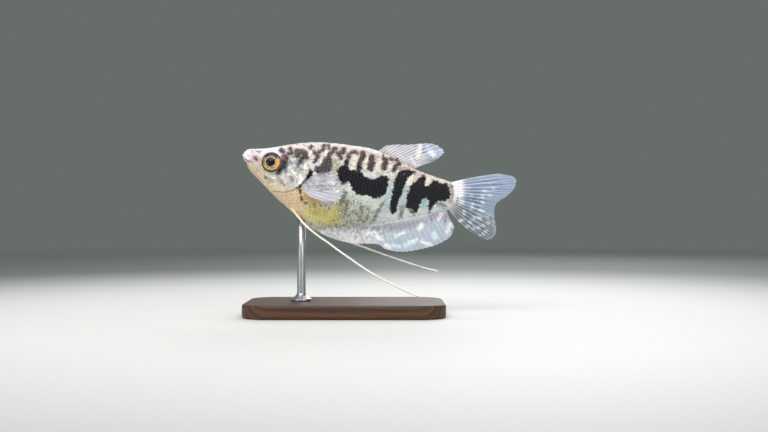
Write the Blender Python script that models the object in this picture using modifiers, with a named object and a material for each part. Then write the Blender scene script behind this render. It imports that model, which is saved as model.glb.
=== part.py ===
"""Opaline gourami, life size, as a still museum model on a plain display stand.

Lengths are millimetres in the fish's own frame: X runs from the snout tip (0) to the tail, Z is
up the back, and the left flank faces -Y. The finished fish hangs from one empty that tilts it
nose up and lifts it over the stand. The world is in metres, +Z up, with its origin on the
stand's underside, midway between snout and tail tip.
"""

import math

import bmesh
import bpy
import numpy as np
from mathutils import Vector

MM = 0.001
TOUCH_GAP = 0.3
MODEL = "opaline_gourami"

# Pose over the stand
NOSE_UP_DEG = 11.3
SNOUT_TO_MIDDLE = 39.74
SNOUT_HEIGHT = 47.0

# Flesh of the body, from snout to tail root: station, back line, belly line, half width,
# level of the widest point, and how much the section narrows to the back and to the belly
# (1 is an ellipse, more is a keel)
FLESH_STATIONS = (
    (0.0, 0.2, -0.95, 0.60, -0.4, 1.0, 1.0),
    (0.3, 1.0, -1.4, 1.00, -0.5, 1.0, 1.0),
    (1.0, 1.7, -2.2, 1.40, -0.7, 1.0, 1.0),
    (2.1, 2.1, -3.75, 1.85, -1.0, 1.0, 1.05),
    (3.6, 2.4, -5.15, 2.35, -1.3, 0.95, 1.1),
    (5.8, 2.95, -6.6, 2.9, -1.6, 0.95, 1.15),
    (8.5, 3.85, -8.5, 3.35, -1.9, 0.95, 1.2),
    (12.2, 5.3, -11.0, 3.85, -2.3, 1.0, 1.2),
    (16.4, 6.7, -13.4, 4.4, -2.7, 1.0, 1.2),
    (20.0, 7.65, -15.4, 4.7, -3.0, 1.0, 1.2),
    (25.0, 8.35, -17.2, 4.8, -3.2, 1.05, 1.25),
    (30.5, 8.75, -16.1, 4.6, -2.8, 1.1, 1.4),
    (36.5, 8.95, -14.9, 4.1, -2.1, 1.15, 1.5),
    (41.5, 8.05, -13.5, 3.5, -1.4, 1.2, 1.55),
    (48.0, 6.1, -11.2, 2.7, -0.9, 1.2, 1.5),
    (53.2, 5.0, -8.7, 1.95, -0.5, 1.2, 1.4),
    (57.0, 4.45, -6.9, 1.4, -0.2, 1.15, 1.25),
    (61.0, 4.0, -4.6, 1.0, 0.0, 1.1, 1.1),
    (64.0, 3.85, -4.1, 0.8, 0.0, 1.1, 1.1),
)
FLESH_LENGTH = 64.0
FLESH_RINGS = 44
FLESH_SIDES = 32
HEAD_STRETCH = (0.0, 22.0)
HEAD_RINGS = 36

# Swellings of the flanks: X and Z of the middle, height, and reach along X and Z
SWELLINGS = (
    (8.5, -0.7, 0.4, 3.7, 3.7),
    (15.2, -3.4, 0.3, 4.6, 5.2),
)

# Cuts between the named parts, seen from the left side
GILL_EDGE = (
    (16.4, 4.6), (17.6, 3.4), (19.0, 1.8), (19.9, -0.4), (20.1, -2.5),
    (19.4, -4.8), (17.6, -6.7), (15.8, -7.9), (13.6, -8.9), (10.6, -9.5), (8.6, -10.2),
)
GILL_FRONT = ((12.9, -8.3), (13.6, -6.4), (14.0, -4.2), (14.1, -1.6), (14.4, 0.8), (15.1, 2.5), (16.0, 3.5))
TAIL_CUT = 50.6
TAIL_ROOT = ((60.9, 5.4), (61.6, 4.0), (62.7, 2.1), (63.3, 0.0), (63.2, -2.0), (62.5, -4.0), (61.9, -5.4))
COVER_TOP = 3.7
COVER_FRONT = 12.6
COVER_DEPTH = 1.0
COVER_RAISE = 0.35
COVER_INNERMOST = 0.8

# Head
EYE_PLACE = (8.8, 3.42, -0.85)
EYE_FACES = (-0.18, 1.0, 0.14)
EYE_RADIUS = 2.88
EYE_BULGE = 0.8
EYE_DEPTH = 1.9
MOUTH_TIP = (-0.1, -0.78)
MOUTH_CORNER = (2.2, -1.9)
MOUTH_HALF_WIDTH = 1.72
LIP_RADIUS = 0.4
LIP_SINK = 0.24
LIP_POINTS = 15
LIP_ABOVE = 0.34
LIP_BELOW = 0.38
NOSTRILS = ((2.7, 1.05, 0.26), (5.0, 1.55, 0.3))
NOSTRIL_RISE = 0.5
NOSTRIL_DEPTH = 0.45

# Fins: key rays from front to back or top to bottom, each a root and a tip seen from the side,
# and how far the ray bows away from the straight line between them
DORSAL_RAYS = 16
DORSAL_KEYS = (
    (37.8, 7.9, 40.4, 10.6, 0.0),
    (39.4, 7.5, 43.3, 11.5, 0.1),
    (41.0, 7.1, 47.0, 12.2, 0.2),
    (42.5, 6.7, 51.0, 13.4, 0.3),
    (44.0, 6.2, 54.6, 13.8, 0.3),
    (45.3, 5.8, 57.5, 12.4, 0.3),
    (46.5, 5.4, 56.7, 10.6, 0.2),
    (47.6, 5.0, 54.6, 8.6, 0.1),
    (48.8, 4.7, 51.8, 7.0, 0.0),
)
ANAL_RAYS = 30
ANAL_KEYS = (
    (24.4, -16.2, 27.0, -18.5, 0.0),
    (28.5, -15.7, 31.4, -19.3, 0.0),
    (33.0, -14.8, 36.8, -19.4, 0.0),
    (37.2, -13.9, 41.0, -18.6, 0.0),
    (40.0, -13.1, 44.0, -18.3, -0.1),
    (42.5, -12.4, 46.7, -19.3, -0.2),
    (46.5, -11.0, 51.4, -19.0, -0.3),
    (50.5, -9.3, 56.0, -17.4, -0.3),
    (54.5, -7.6, 60.4, -15.2, -0.3),
    (58.0, -5.8, 64.0, -12.1, -0.2),
    (60.2, -4.5, 64.7, -9.0, -0.1),
    (61.2, -4.0, 63.2, -7.4, 0.0),
)
CAUDAL_RAYS = 16
CAUDAL_KEYS = (
    (60.9, 3.6, 74.5, 9.1, 0.35),
    (61.4, 3.0, 79.3, 8.9, 0.2),
    (62.0, 2.1, 80.0, 6.2, 0.0),
    (62.4, 1.1, 78.2, 3.1, 0.0),
    (62.6, 0.0, 75.7, 0.6, 0.0),
    (62.6, -1.0, 75.4, -2.2, 0.0),
    (62.5, -1.9, 76.3, -5.2, -0.1),
    (62.2, -2.7, 77.1, -8.2, -0.2),
    (61.9, -3.3, 75.2, -10.6, -0.4),
    (61.6, -3.8, 70.0, -9.5, -0.5),
)
PECTORAL_RAYS = 10
PECTORAL_KEYS = (
    (19.4, -5.1, 22.4, -1.9, 0.2),
    (19.4, -5.5, 26.2, -0.5, 0.3),
    (19.4, -5.8, 29.2, -1.7, 0.3),
    (19.5, -6.1, 31.1, -3.9, 0.2),
    (19.6, -6.4, 31.4, -6.2, 0.0),
    (19.6, -6.7, 30.4, -7.9, -0.2),
    (19.7, -7.0, 27.0, -9.0, -0.3),
    (19.8, -7.3, 23.3, -8.8, -0.2),
)
PECTORAL_SINK = 0.9
PECTORAL_FLARE = 4.4
MEMBRANE_HALF = 0.25
MARGIN_HALF = 0.14
RIDGE_HEIGHT = 0.17
FIN_ROWS = 7
ANAL_ROWS = 6
CAUDAL_ROWS = 8

# Feelers, the long first rays of the pelvic fins: waypoints of each, as X, distance from the
# middle plane, and Z
NEAR_FEELER = (
    (16.6, 0.5, -12.2), (17.9, 1.8, -13.5), (21.7, 2.4, -16.6), (25.8, 2.6, -18.9),
    (29.5, 2.8, -20.5), (34.0, 3.2, -22.6), (43.6, 4.2, -26.6), (53.3, 5.4, -29.4), (59.0, 6.0, -30.5),
)
FAR_FEELER = (
    (16.6, 0.5, -12.2), (17.9, 1.8, -13.5), (21.7, 2.5, -16.2), (26.5, 2.8, -18.0),
    (31.0, 3.2, -18.9), (35.7, 3.7, -19.4), (47.0, 4.9, -21.1), (58.0, 6.2, -22.5), (63.0, 6.8, -22.7),
)
FEELER_RADIUS = 0.44
FEELER_TIP_RADIUS = 0.22
FEELER_ROOT_SWELL = 0.3
FEELER_POINTS = 30

# Display stand, in the world
BASE_LENGTH = 58.0
BASE_DEPTH = 34.0
BASE_THICKNESS = 4.0
BASE_CENTRE_X = -10.0
BASE_CORNER = 8.0
BASE_EDGE = 0.8
ROD_RADIUS = 1.25
ROD_X = -22.8
ROD_FOOT_RADIUS = 3.0
ROD_FOOT_HEIGHT = 1.6
ROD_TOP = 31.0

COLOURS = {
    "skin": ((0.72, 0.68, 0.62, 1.0), 0.35),
    "gill_cover": ((0.78, 0.72, 0.60, 1.0), 0.3),
    "fin": ((0.66, 0.70, 0.78, 1.0), 0.4),
    "feeler": ((0.88, 0.86, 0.76, 1.0), 0.45),
    "eye": ((0.62, 0.42, 0.16, 1.0), 0.1),
    "stand": ((0.20, 0.21, 0.22, 1.0), 0.5),
}


def clear_scene():
    """An empty scene with one collection, which holds the model."""
    for obj in list(bpy.data.objects):
        bpy.data.objects.remove(obj)
    bpy.context.scene.collection.children.link(bpy.data.collections.new(MODEL))


def material(kind):
    """The Principled material of one kind of surface, made once and shared."""
    made = bpy.data.materials.get(kind)
    if made:
        return made
    colour, roughness = COLOURS[kind]
    made = bpy.data.materials.new(kind)
    made.use_nodes = True
    shader = made.node_tree.nodes["Principled BSDF"]
    shader.inputs["Base Color"].default_value = colour
    shader.inputs["Roughness"].default_value = roughness
    shader.inputs["Metallic"].default_value = 0.0
    return made


def through(keys, where):
    """A smooth curve through key rows, read at places from 0 to 1 counted evenly from key to key.

    Each span is a cubic whose end slopes are half the step between the neighbouring keys.
    """
    rows = np.asarray(keys, float)
    slopes = np.gradient(rows, axis=0)
    place = np.clip(np.asarray(where, float), 0.0, 1.0) * (len(rows) - 1)
    first = np.minimum(place.astype(int), len(rows) - 2)
    part = (place - first)[..., None]
    start, end = rows[first], rows[first + 1]
    rise = start * (2 * part**3 - 3 * part**2 + 1) + end * (3 * part**2 - 2 * part**3)
    lean = slopes[first] * (part**3 - 2 * part**2 + part) + slopes[first + 1] * (part**3 - part**2)
    return rise + lean


def flesh_at(stations):
    """The flesh's section values at these stations, read smoothly from FLESH_STATIONS.

    The rows are joined by cubics over the square root of the station, which rounds the snout.
    """
    rows = np.asarray(FLESH_STATIONS, float)
    spacing = np.sqrt(rows[:, 0])
    slopes = np.gradient(rows[:, 1:], spacing, axis=0)
    reach = np.sqrt(np.clip(stations, 0.0, FLESH_LENGTH))
    first = np.clip(np.searchsorted(spacing, reach, side="right") - 1, 0, len(rows) - 2)
    width = spacing[first + 1] - spacing[first]
    part = ((reach - spacing[first]) / width)[:, None]
    start, end = rows[first, 1:], rows[first + 1, 1:]
    rise = start * (2 * part**3 - 3 * part**2 + 1) + end * (3 * part**2 - 2 * part**3)
    lean = slopes[first] * (part**3 - 2 * part**2 + part) + slopes[first + 1] * (part**3 - part**2)
    return rise + lean * width[:, None]


def placed(name, mesh):
    """An object of this mesh in the model's collection."""
    obj = bpy.data.objects.new(name, mesh)
    bpy.data.collections[MODEL].objects.link(obj)
    return obj


def mesh_object(name, points, faces, kind):
    """An object from points in millimetres, with its faces turned outwards."""
    mesh = bpy.data.meshes.new(name)
    mesh.from_pydata([tuple(p) for p in np.asarray(points, float) * MM], [], faces)
    shape = bmesh.new()
    shape.from_mesh(mesh)
    bmesh.ops.recalc_face_normals(shape, faces=shape.faces)
    shape.to_mesh(mesh)
    shape.free()
    mesh.shade_smooth()
    mesh.materials.append(material(kind))
    return placed(name, mesh)


def ring_faces(rings, sides):
    """Quads between neighbouring rings, and a fan from each end ring to its own pole."""
    faces = []
    for ring in range(rings - 1):
        for side in range(sides):
            here, beside = ring * sides + side, ring * sides + (side + 1) % sides
            faces.append((here, beside, beside + sides, here + sides))
    front_pole, back_pole = rings * sides, rings * sides + 1
    for side in range(sides):
        beside = (side + 1) % sides
        faces.append((beside, side, front_pole))
        faces.append(((rings - 1) * sides + side, (rings - 1) * sides + beside, back_pole))
    return faces


def swelling(x, z):
    """How far the flanks stand out beyond the plain ovals: flat-topped round hills."""
    total = 0.0
    for middle_x, middle_z, height, reach_x, reach_z in SWELLINGS:
        far = ((x - middle_x) / reach_x) ** 2 + ((z - middle_z) / reach_z) ** 2
        total = total + height * np.exp(-far**2)
    return total


def flesh(name, outset=0.0, stretch=(0.0, FLESH_LENGTH), rings=FLESH_RINGS, kind="skin"):
    """The body without its fins over a stretch of stations, grown by outset all round.

    Each section is an oval: height follows the sine of the angle round it, and half width
    the cosine raised to the narrowing power of that half. The swellings widen it.
    """
    stations = stretch[0] + (stretch[1] - stretch[0]) * np.linspace(0.0, 1.0, rings) ** 1.6
    top, bottom, half, level, narrow_up, narrow_down = flesh_at(stations).T[:, :, None]
    angle = np.linspace(0.0, 2 * math.pi, FLESH_SIDES, endpoint=False)[None, :]
    rise, reach = np.sin(angle), np.cos(angle)
    narrow = np.where(rise > 0, narrow_up, narrow_down)
    height = np.where(rise > 0, top - level, level - bottom) + outset
    z = level + height * rise
    x = np.broadcast_to(stations[:, None], z.shape)
    y = (half + outset + swelling(x, z)) * np.sign(reach) * np.abs(reach) ** narrow
    ring_points = np.stack([x, y, z], axis=-1).reshape(-1, 3)
    poles = [(stretch[0] - 0.12 - max(outset, 0.0), 0.0, level[0, 0]), (stretch[1] + 0.1, 0.0, level[-1, 0])]
    return mesh_object(name, np.vstack([ring_points, poles]), ring_faces(rings, FLESH_SIDES), kind)


def side_prism(name, outline, near, far):
    """A block with this outline in side view, from Y near to Y far."""
    count = len(outline)
    points = [(x, y, z) for y in (near, far) for x, z in outline]
    faces = [tuple(range(count)), tuple(reversed(range(count, 2 * count)))]
    faces += [(i, (i + 1) % count, (i + 1) % count + count, i + count) for i in range(count)]
    return mesh_object(name, points, faces, "skin")


def smooth_line(waypoints, count):
    return [tuple(p) for p in through(waypoints, np.linspace(0.0, 1.0, count))]


def shifted(line, distance):
    """The line moved sideways by distance, to its right as it runs."""
    points = np.asarray(line, float)
    run = np.gradient(points, axis=0)
    run /= np.linalg.norm(run, axis=1)[:, None]
    return [tuple(p) for p in points + distance * np.stack([run[:, 1], -run[:, 0]], axis=1)]


def grown(outline, distance):
    """A closed clockwise outline moved outwards by distance, each corner kept sharp."""
    points = np.asarray(outline, float)
    edge = np.roll(points, -1, axis=0) - points
    edge /= np.linalg.norm(edge, axis=1)[:, None]
    out = np.stack([-edge[:, 1], edge[:, 0]], axis=1)
    both = out + np.roll(out, 1, axis=0)
    reach = 2 * distance / np.maximum((both**2).sum(axis=1), 0.8)
    return [tuple(p) for p in points + both * reach[:, None]]


def bake(obj):
    """Puts the evaluated modifiers into the object's own mesh, which only it uses."""
    graph = bpy.context.evaluated_depsgraph_get()
    mesh = bpy.data.meshes.new_from_object(obj.evaluated_get(graph))
    obj.modifiers.clear()
    obj.data = mesh


def combine(obj, other, operation, remove=True):
    """One Boolean of obj with other, put into obj's mesh."""
    modifier = obj.modifiers.new(operation.lower(), "BOOLEAN")
    modifier.operation = operation
    modifier.solver = "EXACT"
    modifier.object = other
    bake(obj)
    if remove:
        bpy.data.objects.remove(other)


def join_pieces(obj, pieces):
    """One Boolean union of obj with a collection of closed pieces, which are then removed."""
    group = bpy.data.collections.new(obj.name + "_pieces")
    bpy.context.scene.collection.children.link(group)
    for piece in pieces:
        bpy.data.collections[MODEL].objects.unlink(piece)
        group.objects.link(piece)
    modifier = obj.modifiers.new("union", "BOOLEAN")
    modifier.operation = "UNION"
    modifier.solver = "EXACT"
    modifier.operand_type = "COLLECTION"
    modifier.collection = group
    bake(obj)
    for piece in pieces:
        bpy.data.objects.remove(piece)
    bpy.data.collections.remove(group)


def keep_largest(obj):
    """Drops every closed surface of the mesh but the one with the most volume."""
    shape = bmesh.new()
    shape.from_mesh(obj.data)
    unseen, groups = set(shape.faces), []
    while unseen:
        group, edge_of = set(), [unseen.pop()]
        while edge_of:
            face = edge_of.pop()
            group.add(face)
            for edge in face.edges:
                for beside in edge.link_faces:
                    if beside in unseen:
                        unseen.remove(beside)
                        edge_of.append(beside)
        groups.append(group)

    def volume(group):
        return sum(f.calc_center_median().dot(f.normal) * f.calc_area() for f in group) / 3

    largest = max(groups, key=volume)
    loose = [face for face in shape.faces if face not in largest]
    bmesh.ops.delete(shape, geom=loose, context="FACES")
    shape.to_mesh(obj.data)
    shape.free()


def mirrored(obj, name):
    """The same piece on the fish's right side."""
    mesh = obj.data.copy()
    shape = bmesh.new()
    shape.from_mesh(mesh)
    bmesh.ops.scale(shape, vec=Vector((1.0, -1.0, 1.0)), verts=shape.verts)
    bmesh.ops.reverse_faces(shape, faces=shape.faces)
    shape.to_mesh(mesh)
    shape.free()
    return placed(name, mesh)


def ball(name, place, radii, facing, segments, rings, kind):
    """A ball with its pole turned to facing: radius, height of its outer cap, depth of its inner cap."""
    radius, outer, inner = radii
    turned = Vector((0.0, 0.0, 1.0)).rotation_difference(Vector(facing))
    shape = bmesh.new()
    bmesh.ops.create_uvsphere(shape, u_segments=segments, v_segments=rings, radius=1.0)
    for vertex in shape.verts:
        x, y, z = vertex.co
        shaped = Vector((radius * x, radius * y, z * (outer if z > 0 else inner)))
        vertex.co = (Vector(place) + turned @ shaped) * MM
    mesh = bpy.data.meshes.new(name)
    shape.to_mesh(mesh)
    shape.free()
    mesh.shade_smooth()
    mesh.materials.append(material(kind))
    return placed(name, mesh)


def eye(name, side, grow=0.0):
    """An eyeball with a low outer dome, or with grow, the socket it sits in."""
    place = (EYE_PLACE[0], side * EYE_PLACE[1], EYE_PLACE[2])
    facing = (EYE_FACES[0], side * EYE_FACES[1], EYE_FACES[2])
    outer = EYE_BULGE + (EYE_RADIUS if grow else 0.0)
    return ball(name, place, (EYE_RADIUS + grow, outer, EYE_DEPTH + grow), facing, 24, 12, "eye")


def tube(name, path, radii, kind):
    """A closed round tube along the path, with a radius at each point, made a mesh."""
    curve = bpy.data.curves.new(name, "CURVE")
    curve.dimensions = "3D"
    curve.bevel_depth = MM
    curve.bevel_resolution = 2
    curve.use_fill_caps = True
    spline = curve.splines.new("POLY")
    spline.points.add(len(path) - 1)
    for point, place, radius in zip(spline.points, path, radii):
        point.co = (*(Vector(place) * MM), 1.0)
        point.radius = radius
    guide = placed(name + "_guide", curve)
    graph = bpy.context.evaluated_depsgraph_get()
    mesh = bpy.data.meshes.new_from_object(guide.evaluated_get(graph))
    bpy.data.objects.remove(guide)
    shape = bmesh.new()
    shape.from_mesh(mesh)
    bmesh.ops.remove_doubles(shape, verts=shape.verts, dist=0.001 * MM)
    bmesh.ops.recalc_face_normals(shape, faces=shape.faces)
    shape.to_mesh(mesh)
    shape.free()
    mesh.materials.clear()
    mesh.materials.append(material(kind))
    mesh.shade_smooth()
    return placed(name, mesh)


def fin(name, keys, rays, rows, root_half, side_of, branched=False):
    """A closed blade with a ridge along each ray, the same triangles on both faces.

    keys are root X and Z, tip X and Z, and bow. side_of(across, along) gives the Y of the
    blade's middle. Each ray has a column on its crest and one at each foot; a branched
    ray's ridge passes to the two feet columns halfway out.
    """
    step = 1.0 / rays
    crest = (np.arange(rays) + 0.5) * step
    foot = 0.26 * step
    across = np.sort(np.concatenate([[0.0, 1.0], crest - foot, crest, crest + foot]))
    on_crest = np.isin(across, crest)
    on_foot = ~on_crest
    on_foot[[0, -1]] = False
    along = np.linspace(0.0, 1.0, rows)[None, :]
    root_x, root_z, tip_x, tip_z, bow = through(keys, across).T[:, :, None]
    reach = along * np.where(on_crest, 1.0, 0.985)[:, None]
    run_x, run_z = tip_x - root_x, tip_z - root_z
    length = np.hypot(run_x, run_z)
    arch = 4 * bow * reach * (1 - reach)
    x = root_x + run_x * reach - arch * run_z / length
    z = root_z + run_z * reach + arch * run_x / length
    middle = side_of(across[:, None] + 0 * along, reach)
    fork = np.clip((along - 0.4) / 0.25, 0.0, 1.0) if branched else 0 * along
    ridge = np.where(on_crest[:, None], 1 - 0.75 * fork, 0.0) + np.where(on_foot[:, None], fork, 0.0)
    blend = np.clip(1 - along / 0.3, 0.0, 1.0) ** 2
    half = MEMBRANE_HALF + (root_half - MEMBRANE_HALF) * blend + RIDGE_HEIGHT * ridge * (1 - 0.6 * along)
    half = np.where(along > 0.999, MARGIN_HALF, half)
    faces_of = [np.stack([x, middle + side * half, z], axis=-1).reshape(-1, 3) for side in (-1, 1)]
    columns = len(across)
    count = columns * rows
    faces = []
    for i in range(columns - 1):
        for j in range(rows - 1):
            a, b = i * rows + j, (i + 1) * rows + j
            for near in ((a, b, b + 1), (a, b + 1, a + 1)):
                faces.append(near)
                faces.append(tuple(count + v for v in reversed(near)))
    rim = [i * rows for i in range(columns)] + [(columns - 1) * rows + j for j in range(1, rows)]
    rim += [i * rows + rows - 1 for i in reversed(range(columns - 1))] + list(reversed(range(1, rows - 1)))
    for here, after in zip(rim, rim[1:] + rim[:1]):
        faces.append((here, count + after, after))
        faces.append((here, count + here, count + after))
    return mesh_object(name, np.vstack(faces_of), faces, "fin")


def make_head(body):
    """Head with gill chamber recesses, eye sockets, nostrils, and lips round the mouth line."""
    edge = smooth_line(GILL_EDGE, 31)
    outline = [(-3.0, 14.0), (16.0, 14.0)] + edge + [(6.0, -16.0), (-3.0, -16.0)]
    head = part_of(body, "head", outline)
    for side in (-1, 1):
        combine(head, cover_block("recess", side, TOUCH_GAP), "DIFFERENCE")
        combine(head, eye("socket", side, TOUCH_GAP), "DIFFERENCE")
        for x, z, radius in NOSTRILS:
            combine(head, nostril(x, side, z, radius), "DIFFERENCE")
    join_pieces(head, [lip("upper_lip", LIP_ABOVE), lip("lower_lip", -LIP_BELOW)])
    keep_largest(head)
    return head


def part_of(body, name, outline):
    """A copy of the flesh kept inside this side outline."""
    piece = placed(name, body.data.copy())
    combine(piece, side_prism("region", outline, -12.0, 12.0), "INTERSECT")
    keep_largest(piece)
    return piece


def half_width_at(x, z):
    """The flesh's half width at a point of its side view."""
    top, bottom, half, level, narrow_up, narrow_down = flesh_at(np.array([x]))[0]
    if z > level:
        rise, narrow = (z - level) / (top - level), narrow_up
    else:
        rise, narrow = (level - z) / (level - bottom), narrow_down
    return (half + swelling(x, z)) * math.sqrt(max(0.0, 1 - min(1.0, rise) ** 2)) ** narrow


def lip(name, above):
    """One lip: a tapered roll from corner to corner, above or below the mouth line.

    Seen from above the roll is half an ellipse round the snout; seen from the side it
    follows the mouth line down to the corner.
    """
    turn = np.linspace(-math.pi / 2, math.pi / 2, LIP_POINTS)
    back = 1 - np.cos(turn)
    x = MOUTH_TIP[0] + LIP_SINK + (MOUTH_CORNER[0] - MOUTH_TIP[0]) * back
    y = (MOUTH_HALF_WIDTH - LIP_SINK) * np.sin(turn)
    z = MOUTH_TIP[1] + (MOUTH_CORNER[1] - MOUTH_TIP[1]) * back + above * (1 - 0.7 * back)
    return tube(name, np.stack([x, y, z], axis=1), LIP_RADIUS * (1 - 0.55 * back**2), "skin")


def nostril(x, side, z, radius):
    """A round pit, sunk into the snout from the side and a little from above."""
    surface = half_width_at(x, z)
    facing = (0.0, side, NOSTRIL_RISE)
    return ball("nostril", (x, side * surface, z), (radius, 1.0, NOSTRIL_DEPTH), facing, 10, 6, "skin")


def cover_block(name, side, grow):
    """What a gill cover is cut from, or with grow, the room that its head leaves for it."""
    edge = [p for p in smooth_line(GILL_EDGE, 41) if p[1] < COVER_TOP and p[0] > COVER_FRONT]
    outline = grown(edge + smooth_line(GILL_FRONT, 13), grow)
    near, far = sorted((side * (COVER_INNERMOST - grow), side * 9.0))
    block = side_prism(name, outline, near, far)
    combine(block, flesh("core", -COVER_DEPTH - grow, (8.0, 24.0), 18), "DIFFERENCE")
    return block


def make_gill_cover(side, name):
    """A plate that follows the cheek, raised a little above it."""
    cover = flesh(name, COVER_RAISE, (0.0, 24.0), HEAD_RINGS, "gill_cover")
    combine(cover, cover_block("block", side, 0.0), "INTERSECT")
    keep_largest(cover)
    return cover


def make_trunk(body):
    """From the gill slit to the tail stalk, with the breast under the head."""
    edge = shifted(smooth_line(GILL_EDGE, 31), -TOUCH_GAP)
    outline = [(TAIL_CUT, 14.0), (TAIL_CUT, -22.0), (6.3, -22.0), (6.3, -12.0)]
    outline += list(reversed(edge)) + [(16.4, 14.0)]
    return part_of(body, "trunk", outline)


def make_tail_stalk(body):
    outline = [(TAIL_CUT + TOUCH_GAP, 14.0), (60.0, 14.0)] + smooth_line(TAIL_ROOT, 15)
    outline += [(61.0, -16.0), (TAIL_CUT + TOUCH_GAP, -16.0)]
    return part_of(body, "tail_stalk", outline)


def make_median_fins(clearance):
    """Dorsal, anal and tail fins, with a slight natural sway, and roots trimmed to the body."""
    dorsal = fin("dorsal_fin", DORSAL_KEYS, DORSAL_RAYS, FIN_ROWS, 0.6, lambda s, t: 0.7 * t**2 * s)
    anal = fin("anal_fin", ANAL_KEYS, ANAL_RAYS, ANAL_ROWS, 0.55, lambda s, t: -0.5 * t**2 * np.sin(5.0 * s))
    for blade in (dorsal, anal):
        combine(blade, clearance, "DIFFERENCE", remove=False)
        keep_largest(blade)
    sway = 1.3
    caudal = fin("caudal_fin", CAUDAL_KEYS, CAUDAL_RAYS, CAUDAL_ROWS, 0.75, lambda s, t: sway * t**2, True)
    behind = shifted(smooth_line(TAIL_ROOT, 15), -TOUCH_GAP) + [(90.0, -20.0), (90.0, 20.0)]
    combine(caudal, side_prism("behind_stalk", behind, -9.0, 9.0), "INTERSECT")
    keep_largest(caudal)
    return [dorsal, anal, caudal]


def make_pectoral_fin(clearance):
    """The left paddle fin, its root in the flank and its tips held out from it."""
    def side_of(across, along):
        flank = half_width_at(19.6, -6.2) - PECTORAL_SINK
        return -(flank + (PECTORAL_SINK + 0.9) * np.clip(along / 0.16, 0, 1) + PECTORAL_FLARE * along**1.2)

    paddle = fin("pectoral_fin_left", PECTORAL_KEYS, PECTORAL_RAYS, FIN_ROWS, 0.45, side_of)
    combine(paddle, clearance, "DIFFERENCE", remove=False)
    keep_largest(paddle)
    return paddle


def make_feeler(name, waypoints, side, clearance):
    """A long thread that tapers to its tip, trimmed where it leaves the breast."""
    path = [(x, side * y, z) for x, y, z in smooth_line(waypoints, FEELER_POINTS)]
    share = np.linspace(0.0, 1.0, FEELER_POINTS)
    radii = FEELER_RADIUS + (FEELER_TIP_RADIUS - FEELER_RADIUS) * share**0.7
    radii += FEELER_ROOT_SWELL * np.exp(-((share / 0.09) ** 2))
    feeler = tube(name, path, radii, "feeler")
    combine(feeler, clearance, "DIFFERENCE", remove=False)
    keep_largest(feeler)
    return feeler


def make_base():
    """A flat plate with round corners and a small bevel round its top and bottom edges."""
    shape = bmesh.new()
    bmesh.ops.create_cube(shape, size=1.0)
    size = Vector((BASE_LENGTH, BASE_DEPTH, BASE_THICKNESS)) * MM
    bmesh.ops.scale(shape, vec=size, verts=shape.verts)
    bmesh.ops.translate(shape, vec=Vector((BASE_CENTRE_X, 0.0, BASE_THICKNESS / 2)) * MM, verts=shape.verts)
    upright = [edge for edge in shape.edges if abs(edge.verts[0].co.z - edge.verts[1].co.z) > MM]
    bmesh.ops.bevel(shape, geom=upright, offset=BASE_CORNER * MM, segments=7, profile=0.5, affect="EDGES")
    rims = [edge for edge in shape.edges if abs(edge.verts[0].co.z - edge.verts[1].co.z) < 0.01 * MM]
    bmesh.ops.bevel(shape, geom=rims, offset=BASE_EDGE * MM, segments=2, profile=0.5, affect="EDGES")
    mesh = bpy.data.meshes.new("stand_base")
    shape.to_mesh(mesh)
    shape.free()
    mesh.shade_smooth()
    mesh.set_sharp_from_angle(angle=math.radians(30))
    mesh.materials.append(material("stand"))
    return placed("stand_base", mesh)


def make_rod(clearance):
    """A turned rod with a small foot, its top hollowed to the belly that rests on it."""
    foot = BASE_THICKNESS + TOUCH_GAP
    profile = (
        (0.0, ROD_TOP), (ROD_RADIUS, ROD_TOP), (ROD_RADIUS, foot + 1.6 * ROD_FOOT_HEIGHT),
        (ROD_RADIUS + 0.5, foot + ROD_FOOT_HEIGHT), (ROD_FOOT_RADIUS, foot + 0.5 * ROD_FOOT_HEIGHT),
        (ROD_FOOT_RADIUS, foot), (0.0, foot),
    )
    mesh = bpy.data.meshes.new("stand_rod")
    points = [Vector((r, 0.0, z)) * MM for r, z in profile]
    mesh.from_pydata(points, [(i, i + 1) for i in range(len(points) - 1)], [])
    mesh.materials.append(material("stand"))
    rod = placed("stand_rod", mesh)
    turning = rod.modifiers.new("turning", "SCREW")
    turning.steps = turning.render_steps = 24
    turning.use_merge_vertices = True
    turning.merge_threshold = 0.001 * MM
    bake(rod)
    rod.location.x = ROD_X * MM
    rod.data.set_sharp_from_angle(angle=math.radians(40))
    combine(rod, clearance, "DIFFERENCE", remove=False)
    keep_largest(rod)
    return rod


def main():
    clear_scene()
    body = flesh("body")
    front = flesh("front", stretch=HEAD_STRETCH, rings=HEAD_RINGS)
    clearance = flesh("clearance", TOUCH_GAP)
    parts = [make_head(front), make_trunk(body), make_tail_stalk(body)]
    bpy.data.objects.remove(front)
    bpy.data.objects.remove(body)
    for side, word in ((-1, "left"), (1, "right")):
        parts.append(make_gill_cover(side, f"gill_cover_{word}"))
        parts.append(eye(f"eye_{word}", side))
    parts += make_median_fins(clearance)
    paddle = make_pectoral_fin(clearance)
    parts += [paddle, mirrored(paddle, "pectoral_fin_right")]
    parts.append(make_feeler("feeler_left", NEAR_FEELER, -1, clearance))
    parts.append(make_feeler("feeler_right", FAR_FEELER, 1, clearance))

    pose = bpy.data.objects.new("fish_pose", None)
    bpy.data.collections[MODEL].objects.link(pose)
    pose.location = (-SNOUT_TO_MIDDLE * MM, 0.0, SNOUT_HEIGHT * MM)
    pose.rotation_euler = (0.0, math.radians(NOSE_UP_DEG), 0.0)
    for part in [*parts, clearance]:
        part.parent = pose
    bpy.context.view_layer.update()

    make_base()
    make_rod(clearance)
    bpy.data.objects.remove(clearance)


main()
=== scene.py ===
import math

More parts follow.
